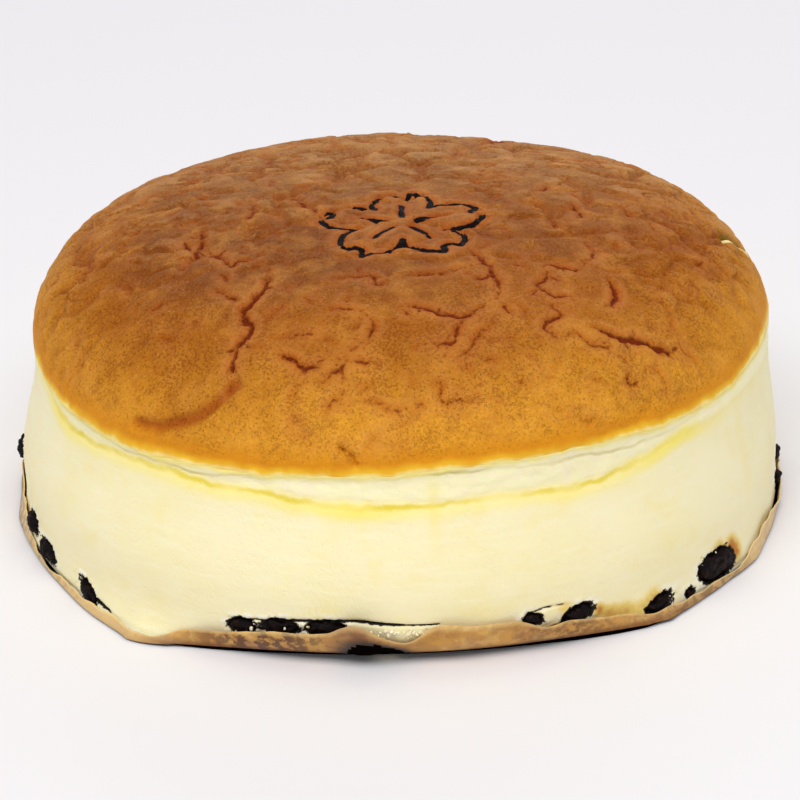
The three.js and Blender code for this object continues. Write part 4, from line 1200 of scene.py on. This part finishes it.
def raisin_tree():
    sizes = {
        "Wrinkle depth": 0.9, "Wrinkle size": 2.2, "Raggedness": 1.3, "Lumpiness": 1.7, "Squareness": 0.35,
    }
    board, given, result = relief_tree("wrinkled raisins", sizes)
    turn = board.add("GeometryNodeInputNamedAttribute", {"Name": "turn"}, data_type="FLOAT_VECTOR").outputs[0]
    half = board.add("GeometryNodeInputNamedAttribute", {"Name": "half"}, data_type="FLOAT_VECTOR").outputs[0]
    scrap = board.field("scrap")
    joined = board.add("GeometryNodeJoinGeometry")
    for is_scrap, detail in ((False, 5), (True, 4)):
        ball = board.add("GeometryNodeMeshIcoSphere", {"Radius": 1.0, "Subdivisions": detail}).outputs[0]
        at = board.add("GeometryNodeInputPosition").outputs[0]
        squared = board.vector("MULTIPLY", at, at)
        dot = board.add("ShaderNodeVectorMath", {0: squared, 1: squared}, operation="DOT_PRODUCT")
        fourth = dot.outputs["Value"]
        boxy = board.scaled(at, board.math("SUBTRACT", board.math("POWER", fourth, -0.25), 1.0))
        offset = board.scaled(boxy, given["Squareness"])
        ball = board.add("GeometryNodeSetPosition", {"Geometry": ball, "Offset": offset}).outputs[0]
        chosen = board.math("GREATER_THAN" if is_scrap else "LESS_THAN", scrap, 0.5)
        placed = board.add("GeometryNodeInstanceOnPoints", {
            "Points": given["Geometry"], "Selection": chosen, "Instance": ball, "Rotation": turn,
            "Scale": half,
        })
        board.tree.links.new(placed.outputs[0], joined.inputs[0])
    real = board.add("GeometryNodeRealizeInstances", {0: joined.outputs[0]}).outputs[0]
    place = place_in_mm(board)
    folds = board.noise(
        place, given["Wrinkle size"], 3.0, 0.55, noise_type="RIDGED_MULTIFRACTAL", normalize=True,
    )
    ragged = board.math("SUBTRACT", board.noise(place, 1.6, 3.0, 0.65), 0.5)
    height = board.math("MULTIPLY", board.math("SUBTRACT", folds, 0.55), given["Wrinkle depth"])
    height = board.math("ADD", height, board.math("MULTIPLY", ragged, given["Raggedness"]))
    lumps = board.math("SUBTRACT", board.noise(place, 3.6, 1.0), 0.5)
    height = board.math("ADD", height, board.math("MULTIPLY", lumps, given["Lumpiness"]))
    close_tree(board, given, result, pushed_out(board, real, height))
    return board.tree


def raisin_finish():
    material, board, shader = new_material("raisin skin", 0.5, IOR=1.4, Specular_IOR_Level=0.14)
    place = place_in_mm(board)
    patches = board.group(BLOTCHES, Place=place, Size=1.6, Low=0.5, High=0.8).outputs[0]
    color = board.blend(patches, paint(16, 8, 8), paint(44, 20, 14))
    board.feed(shader.inputs["Base Color"], color)
    grain = board.group(GRAIN, **{"Place": place, "Grain size": 0.5})
    bumped(board, shader, board.math("MULTIPLY", grain.outputs["Height"], 0.15))
    return material


# ---------------------------------------------------------------- baking paper

PAPER_EDGE = [  # azimuth and height over the floor of the turned-up edge, where it meets the eye on the side
    (-180, 8.0), (-177, 10.0), (-174, 9.0), (-172, 4.6), (-169, 5.6), (-166, 6.2), (-163, 3.2), (-161, 2.0),
    (-156, 0.9), (-150, 1.2), (-142.5, 1.7),
    (-137, 1.3), (-134, 1.7), (-129, 1.1), (-126, 1.0), (-124.4, 1.8), (-122.4, 3.0), (-119.3, 4.3),
    (-115, 5.4), (-111.5, 6.0), (-108, 7.5), (-104, 7.6), (-100.2, 7.7), (-98.5, 9.6), (-96.9, 10.9),
    (-95.3, 9.6), (-93, 7.3), (-90.4, 5.6), (-89.2, 6.1), (-88, 7.8), (-86.5, 9.4), (-84.2, 9.7), (
        -81.4, 9.2,
    ),
    (-78.3, 8.5), (-75.1, 8.9), (-73.7, 7.5), (-71.3, 6.3), (-68, 6.2), (-63.8, 5.4), (-59.3, 4.3), (
        -57, 3.0,
    ),
    (-53.9, 2.3), (-46, 1.8), (-38, 1.4), (-33, 1.6), (-29.4, 3.0), (-22.3, 4.2), (-16, 2.4), (-8, 3.4),
    (3, 2.4), (14, 3.0), (30, 1.8), (52, 3.4), (75, 2.2), (98, 3.2), (120, 1.8), (142, 3.0), (160, 2.2), (
        172, 3.4,
    ),
]
PAPER_THICKNESS = 0.28
PAPER_STAND_OFF = [  # azimuth and how far the turned-up edge stands off the sponge
    (-170, 0.5), (-160, 0.4), (-134, 0.4), (-122, 0.6), (-112, 1.5), (-101, 1.5), (-98, 2.4), (-96, 3.4),
    (-94, 2.2), (-92, 0.9), (-89, 0.7), (-84, 1.1), (-72, 1.0), (-66, 1.4), (-60, 0.9), (-53, 1.2),
    (-46, 0.7), (-38, 1.0), (-28, 0.6),
    (-10, 1.2), (10, 0.6), (60, 1.1), (110, 0.7), (150, 1.2),
]
PAPER_GAP = 0.35
PAPER_JUICE = [  # azimuth and strength of the dark mottles that raisin juice leaves on the paper
    (-170, 0.4), (-150, 0.3), (-130, 0.0), (-120, 0.2), (-114, 0.9), (-104, 0.9), (-100, 0.3), (-90, 0.2),
    (-84, 0.1), (-74, 0.3), (-66, 0.8), (-62, 0.3), (-56, 0.4), (-51, 0.5), (-42, 0.6), (-30, 0.1), (0, 0.5),
    (30, 0.1), (60, 0.6), (110, 0.2), (150, 0.5),
]
PAPER_RIDGE = {"azimuth": -95.6, "spread": 2.2, "reach": 1.2}
PAPER_PALE_AND_LIT = [  # azimuth and strength of the paper's paler rim, partly thin paler paper and partly a painted highlight where its inner side catches the light
    (-178, 1.0), (-136, 1.0), (-126, 0.7), (-120, 0.1), (-60, 0.1), (-46, 0.6), (-30, 1.0), (-10, 1.0), (
        60, 0.3,
    ),
    (170, 0.5),
]
PAPER_SHADE = [(-93.0, 3.6, 1.1), (-97.0, 3.4, 0.5)]  # azimuth, spread and strength under its fold
PAPER_CREASES = [(31, 0.2, 10), (53, 0.14, 80), (83, 0.1, 33)]
LEVEL_SIGHT = math.tan(math.radians(23.65))  # rise of the paper's edge for each millimetre that it stands off
PAPER_TUCK = [  # inset of the underside, and its share of the lift
    (8.0, 0.0), (1.0, 0.0), (0.1, 0.04), (-0.3, 0.5),
]
PAPER_ROWS = 11


def paper_mesh():
    angle = np.arange(AROUND) / AROUND * 2 * np.pi
    stand_off = ring_values(angle, PAPER_STAND_OFF, 1.2)
    lift = ring_values(angle, PAPER_LIFTS, 1.5)
    rise = ring_values(angle, PAPER_EDGE, 0.7) + LEVEL_SIGHT * stand_off + waves(
        angle, [(41, 0.12, 3), (67, 0.1, 50)],
    )
    rise = np.maximum(rise, lift + 0.35)
    crumple = np.maximum(-0.25, waves(angle, PAPER_CREASES))

    def wall(share, offset):
        height = mix(lift, rise, share)
        at_ridge = bump_at(angle, PAPER_RIDGE["azimuth"], PAPER_RIDGE["spread"])
        ridge = PAPER_RIDGE["reach"] * at_ridge * (1 - share)
        outward = PAPER_GAP + share * (stand_off - PAPER_GAP + crumple) + ridge + offset
        return side_point(angle, height, inset=-outward)

    def base(inset, height):
        level = side_point(angle, np.full(AROUND, 1.0), inset=inset)
        level[:, 2] = height
        return level

    shares = np.linspace(0, 1, PAPER_ROWS)
    rings = [base(inset, share * lift) for inset, share in PAPER_TUCK]
    rings += [wall(share, PAPER_THICKNESS) for share in shares]
    rings.append(wall(1.02, PAPER_THICKNESS * 0.5))
    rings += [wall(share, 0.0) for share in shares[::-1]]
    rings += [base(inset + 0.25, share * lift + 0.2) for inset, share in PAPER_TUCK[::-1]]
    points = np.vstack((*rings, (0, 0, 0), (0, 0, 0.2)))
    faces = []
    for ring in range(len(rings) - 1):
        faces += strip_faces((ring + 1) * AROUND, ring * AROUND, AROUND)
    faces += fan_faces(len(points) - 2, 0, AROUND, upwards=False)
    faces += fan_faces(len(points) - 1, (len(rings) - 1) * AROUND, AROUND, upwards=True)
    level = np.zeros(len(PAPER_TUCK))
    up = np.concatenate((level, shares, [1.02], shares[::-1], level))
    turns = np.concatenate((np.tile(angle, len(rings)), (0, 0)))
    up_wall = np.concatenate((np.repeat(up, AROUND), (0, 0)))
    shaded = sum(strength * bump_at(turns, azimuth, spread) for azimuth, spread, strength in PAPER_SHADE)
    fields = {
        "up_wall": up_wall,
        "juice": ring_values(turns, PAPER_JUICE),
        "fold": bump_at(turns, -96.0, 3.6),
        "shaded": shaded * smooth(1.0, 0.1, up_wall),
        "pale": ring_values(turns, PAPER_PALE_AND_LIT),
        "above_bend": points[:, 2] - ring_values(turns, PAPER_LIFTS, 1.5),
    }
    return make_mesh("baking_paper", points, faces, fields)


def paper_relief():
    board, given, result = relief_tree("crumpled paper", {"Crumple": 0.6, "Crumple size": 4.0})
    place = place_in_mm(board)
    outward = board.vector("NORMALIZE", board.vector("MULTIPLY", place, (1.0, 1.0, 0.0)))
    crumple = board.math("SUBTRACT", board.noise(place, given["Crumple size"], 3.0, 0.6), 0.4)
    amount = board.math("MULTIPLY", crumple, board.math("MULTIPLY", given["Crumple"], board.field("up_wall")))
    offset = board.scaled(outward, board.math("MULTIPLY", amount, MM))
    moved = board.add("GeometryNodeSetPosition", {"Geometry": given["Geometry"], "Offset": offset}).outputs[0]
    # the underside and the shaded hollow under the fold get the near-black painted-shade material
    under = board.math("LESS_THAN", board.field("up_wall"), 0.02)
    shaded = board.math("GREATER_THAN", board.field("shaded"), 0.62)
    close_tree(board, given, result, moved, board.math("MAXIMUM", under, shaded))
    return board.tree


def paper_finish():
    material, board, shader = new_material("greased baking paper", 0.38, IOR=1.45, Specular_IOR_Level=0.4)
    place = place_in_mm(board)
    patches = board.group(BLOTCHES, Place=place, Size=7.0, Low=0.35, High=0.65).outputs[0]
    color = board.blend(patches, paint(206, 148, 54), paint(180, 120, 42))
    pink = board.group(
        BLOTCHES, Place=board.vector("ADD", place, (40.0, 0.0, 0.0)), Size=11.0, Low=0.5, High=0.72,
    )
    color = board.blend(board.math("MULTIPLY", pink.outputs[0], 0.4), color, paint(172, 124, 84))
    cream = board.group(
        BLOTCHES, Place=board.vector("ADD", place, (0.0, 90.0, 0.0)), Size=3.6, Low=0.5, High=0.72,
    )
    color = board.blend(board.math("MULTIPLY", cream.outputs[0], 0.5), color, paint(238, 196, 112))
    # partly painted highlight: the paler rim, where the paper's inner side catches the light
    pale = board.field("pale")
    color = board.blend(board.math("MULTIPLY", pale, 0.8), color, paint(236, 206, 150))
    color = board.blend(board.math("MULTIPLY", board.field("fold"), 0.7), color, paint(150, 98, 66))
    mottle = board.noise(place, 2.4, 3.0, 0.6)
    juice = board.math("MULTIPLY", board.field("juice"), board.step(mottle, 0.42, 0.58))
    color = board.blend(board.math("MULTIPLY", juice, 0.95), color, paint(78, 34, 18))
    # painted highlight along the paper's top edge
    rim = board.step(board.field("up_wall"), 0.8, 0.98)
    color = board.blend(
        board.math("MULTIPLY", rim, board.math("MAXIMUM", pale, 0.4)), color, paint(236, 206, 140),
    )
    # painted shade: the wall darkens towards its lifted bend, less where the rim is pale
    uneven = board.math("ADD", board.field("above_bend"), board.math("SUBTRACT", mottle, 0.5))
    browner = board.math(
        "MULTIPLY", board.step(uneven, 1.6, 0.1, 0.0, 0.75), board.step(pale, 0.2, 1.0, 1.0, 0.25),
    )
    color = board.blend(browner, color, paint(104, 56, 20))
    color = board.blend(board.step(board.field("shaded"), 0.0, 0.62), color, paint(46, 24, 13))
    board.feed(shader.inputs["Base Color"], color)
    grain = board.group(GRAIN, **{"Place": place, "Grain size": 1.4})
    bumped(board, shader, board.math("MULTIPLY", grain.outputs["Height"], 0.08))
    return material


def painted_shade_finish():
    # near-black painted shade for the paper's underside and the hollow under its fold
    material, _, shader = new_material("shaded paper", 1.0, Specular_IOR_Level=0.0)
    shader.inputs["Base Color"].default_value = paint(9, 5, 4)
    return material


# ---------------------------------------------------------------- crumbs

CRUMB_SPOTS = [  # azimuth, height, spreads in degrees and in millimetres, crumbs for each square millimetre
    (-89.5, 8.0, 3.4, 1.1, 2.4), (-112.5, 7.2, 2.2, 1.6, 0.3), (-105.5, 8.2, 1.4, 1.6, 0.3), (
        -51, 4.0, 1.6, 1.4, 0.3,
    ),
    (-43, 7.0, 1.4, 2.2, 0.4), (-1.5, 7.0, 2.0, 2.2, 1.6), (60, 5, 3.0, 1.6, 0.6), (128, 5, 3.0, 1.6, 0.6),
]


def crumb_bed():
    """A coarse strip of the sponge's foot that carries how thickly crumbs lie on it."""
    angle = np.arange(480) / 480 * 2 * np.pi
    heights = np.linspace(2.5, 13, 20)
    rings = [side_point(angle, np.full(480, height), inset=-0.1) for height in heights]
    points = np.vstack(rings)
    faces = []
    for ring in range(len(rings) - 1):
        faces += strip_faces((ring + 1) * 480, ring * 480, 480)
    turns = np.tile(angle, len(rings))
    thick = 0.006 * np.exp(-(((raisin_gap(points) - 0.4) / 0.8) ** 2))
    for azimuth, height, spread, rise, density in CRUMB_SPOTS:
        thick += density * bump_at(turns, azimuth, spread) * np.exp(-(((points[:, 2] - height) / rise) ** 2))
    return make_mesh("sponge_crumbs", points, faces, {"thickly": thick / MM**2})


def crumbs_tree():
    sizes = {"Least size": 0.3, "Most size": 0.9, "Share": 1.0}
    board, given, result = relief_tree("scattered crumbs", sizes)
    density = board.math("MULTIPLY", board.field("thickly"), given["Share"])
    points = board.add(
        "GeometryNodeDistributePointsOnFaces", {"Mesh": given["Geometry"], "Density": density, "Seed": 5},
    )
    ball = board.add("GeometryNodeMeshIcoSphere", {"Radius": 1.0, "Subdivisions": 3}).outputs[0]
    low, high = (board.math("MULTIPLY", given[label], 0.5 * MM) for label in ("Least size", "Most size"))
    size = board.add("FunctionNodeRandomValue", {"Seed": 3}, data_type="FLOAT")
    board.feed(size.inputs[2], low)
    board.feed(size.inputs[3], high)
    turn = board.add("FunctionNodeRandomValue", {"Seed": 9}, data_type="FLOAT_VECTOR")
    turn.inputs[0].default_value = (0, 0, 0)
    turn.inputs[1].default_value = (6.28, 6.28, 6.28)
    flattened = board.add("ShaderNodeCombineXYZ", {0: size.outputs[1], 1: size.outputs[1]})
    board.feed(flattened.inputs[2], board.math("MULTIPLY", size.outputs[1], 0.6))
    placed = board.add("GeometryNodeInstanceOnPoints", {
        "Points": points.outputs["Points"], "Instance": ball, "Rotation": turn.outputs[0],
        "Scale": flattened.outputs[0],
    })
    real = board.add("GeometryNodeRealizeInstances", {0: placed.outputs[0]}).outputs[0]
    ragged = board.math("SUBTRACT", board.noise(place_in_mm(board), 0.7, 2.0), 0.5)
    close_tree(board, given, result, pushed_out(board, real, board.math("MULTIPLY", ragged, 1.2)))
    return board.tree


def crumbs_finish():
    material, board, shader = new_material("loose crumbs", 0.65, IOR=1.36)
    place = place_in_mm(board)
    patches = board.group(BLOTCHES, Place=place, Size=2.5, Low=0.4, High=0.65).outputs[0]
    color = board.blend(patches, paint(248, 240, 214), paint(226, 206, 150))
    board.feed(shader.inputs["Base Color"], color)
    return material


# ---------------------------------------------------------------- the dressed cake


def dress_cake():
    crust = shape_with(link("cake_crust", crust_mesh()), crust_relief(), crust_finish(), CRUST_KEPT)
    crumb = shape_with(link("cake_crumb", crumb_mesh()), crumb_relief(), crumb_finish(), CRUMB_KEPT)
    raisins = shape_with(link("raisins", raisin_points()), raisin_tree(), raisin_finish())
    paper = link("baking_paper", paper_mesh())
    paper = shape_with(paper, paper_relief(), paper_finish(), Underside=painted_shade_finish())
    crumbs = shape_with(link("sponge_crumbs", crumb_bed()), crumbs_tree(), crumbs_finish())
    stands_for = [
        (crust, "crust", ["cake"]),
        (crumb, "crumb", ["cake"]),
        (raisins, "raisin", [name for name, *_ in RAISINS]),
        (paper, "liner", ["liner"]),
        (crumbs, "crumb", []),
    ]
    for piece, slot, nodes in stands_for:
        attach(piece, "root")
        if nodes:
            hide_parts(*nodes)


# ---------------------------------------------------------------- floor, light and camera

FLOOR_SIZE = 6.0
CAMERA_PITCH = 23.652  # degrees below level
CAMERA_ROLL = -1.767
CAMERA_DISTANCE = 0.5726
CAMERA_TARGET = (0.0, 0.0, 0.030)
FOCAL_PIXELS = 2399.0
FRAME_PIXELS = 800
MIDDLE_OFFSET = (-2.5, -35.6)  # where the target lies from the picture's middle, in pixels
SENSOR = 36.0


def make_floor():
    size = FLOOR_SIZE / 2
    mesh = bpy.data.meshes.new("floor")
    mesh.from_pydata(
        [(-size, -size, 0), (size, -size, 0), (size, size, 0), (-size, size, 0)], [], [(0, 1, 2, 3)],
    )
    floor = link("floor", mesh)
    material, _, shader = new_material("pale floor", 0.8)
    shader.inputs["Base Color"].default_value = paint(238, 236, 238)
    floor.data.materials.append(material)
    floor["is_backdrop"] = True


def make_light(name, place, size, power, tint):
    lamp = bpy.data.lights.new(name, "AREA")
    lamp.shape = "RECTANGLE"
    lamp.size, lamp.size_y = size
    lamp.energy = power
    lamp.color = tint
    light = bpy.data.objects.new(name, lamp)
    light.location = place
    light.rotation_euler = (Vector((0, 0, 0.04)) - Vector(place)).to_track_quat("-Z", "Y").to_euler()
    bpy.context.scene.collection.objects.link(light)


def make_lights():
    make_light("key", (-0.12, -0.82, 1.5), (2.4, 0.8), 24.4, (1.0, 0.985, 0.965))
    make_light("back", (0.2, 1.4, 0.9), (1.6, 0.6), 6.0, (0.98, 0.98, 1.0))
    world = bpy.context.scene.world or bpy.data.worlds.new("studio")
    bpy.context.scene.world = world
    world.use_nodes = True
    background = world.node_tree.nodes["Background"]
    background.inputs[0].default_value = (0.93, 0.935, 0.975, 1)
    background.inputs[1].default_value = 0.475


def make_camera():
    pitch, roll = math.radians(CAMERA_PITCH), math.radians(CAMERA_ROLL)
    forward = Vector((0, math.cos(pitch), -math.sin(pitch)))
    level = Vector((1, 0, 0))
    upright = level.cross(forward)
    right = math.cos(roll) * level + math.sin(roll) * upright
    up = math.cos(roll) * upright - math.sin(roll) * level
    lens = bpy.data.cameras.new("camera")
    lens.sensor_width = SENSOR
    lens.lens = FOCAL_PIXELS / FRAME_PIXELS * SENSOR
    lens.shift_x = -MIDDLE_OFFSET[0] / FRAME_PIXELS
    lens.shift_y = MIDDLE_OFFSET[1] / FRAME_PIXELS
    camera = bpy.data.objects.new("camera", lens)
    place = Vector(CAMERA_TARGET) - forward * CAMERA_DISTANCE
    camera.matrix_world = Matrix.Translation(place) @ Matrix((right, up, -forward)).transposed().to_4x4()
    bpy.context.scene.collection.objects.link(camera)
    bpy.context.scene.camera = camera


dress_cake()
make_floor()
make_lights()
make_camera()
bpy.context.scene.view_settings.view_transform = "Standard"

boxes = {"cad": CAD_BOX, "visual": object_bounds()}
{name: [list(corner) for corner in box] for name, box in boxes.items()}
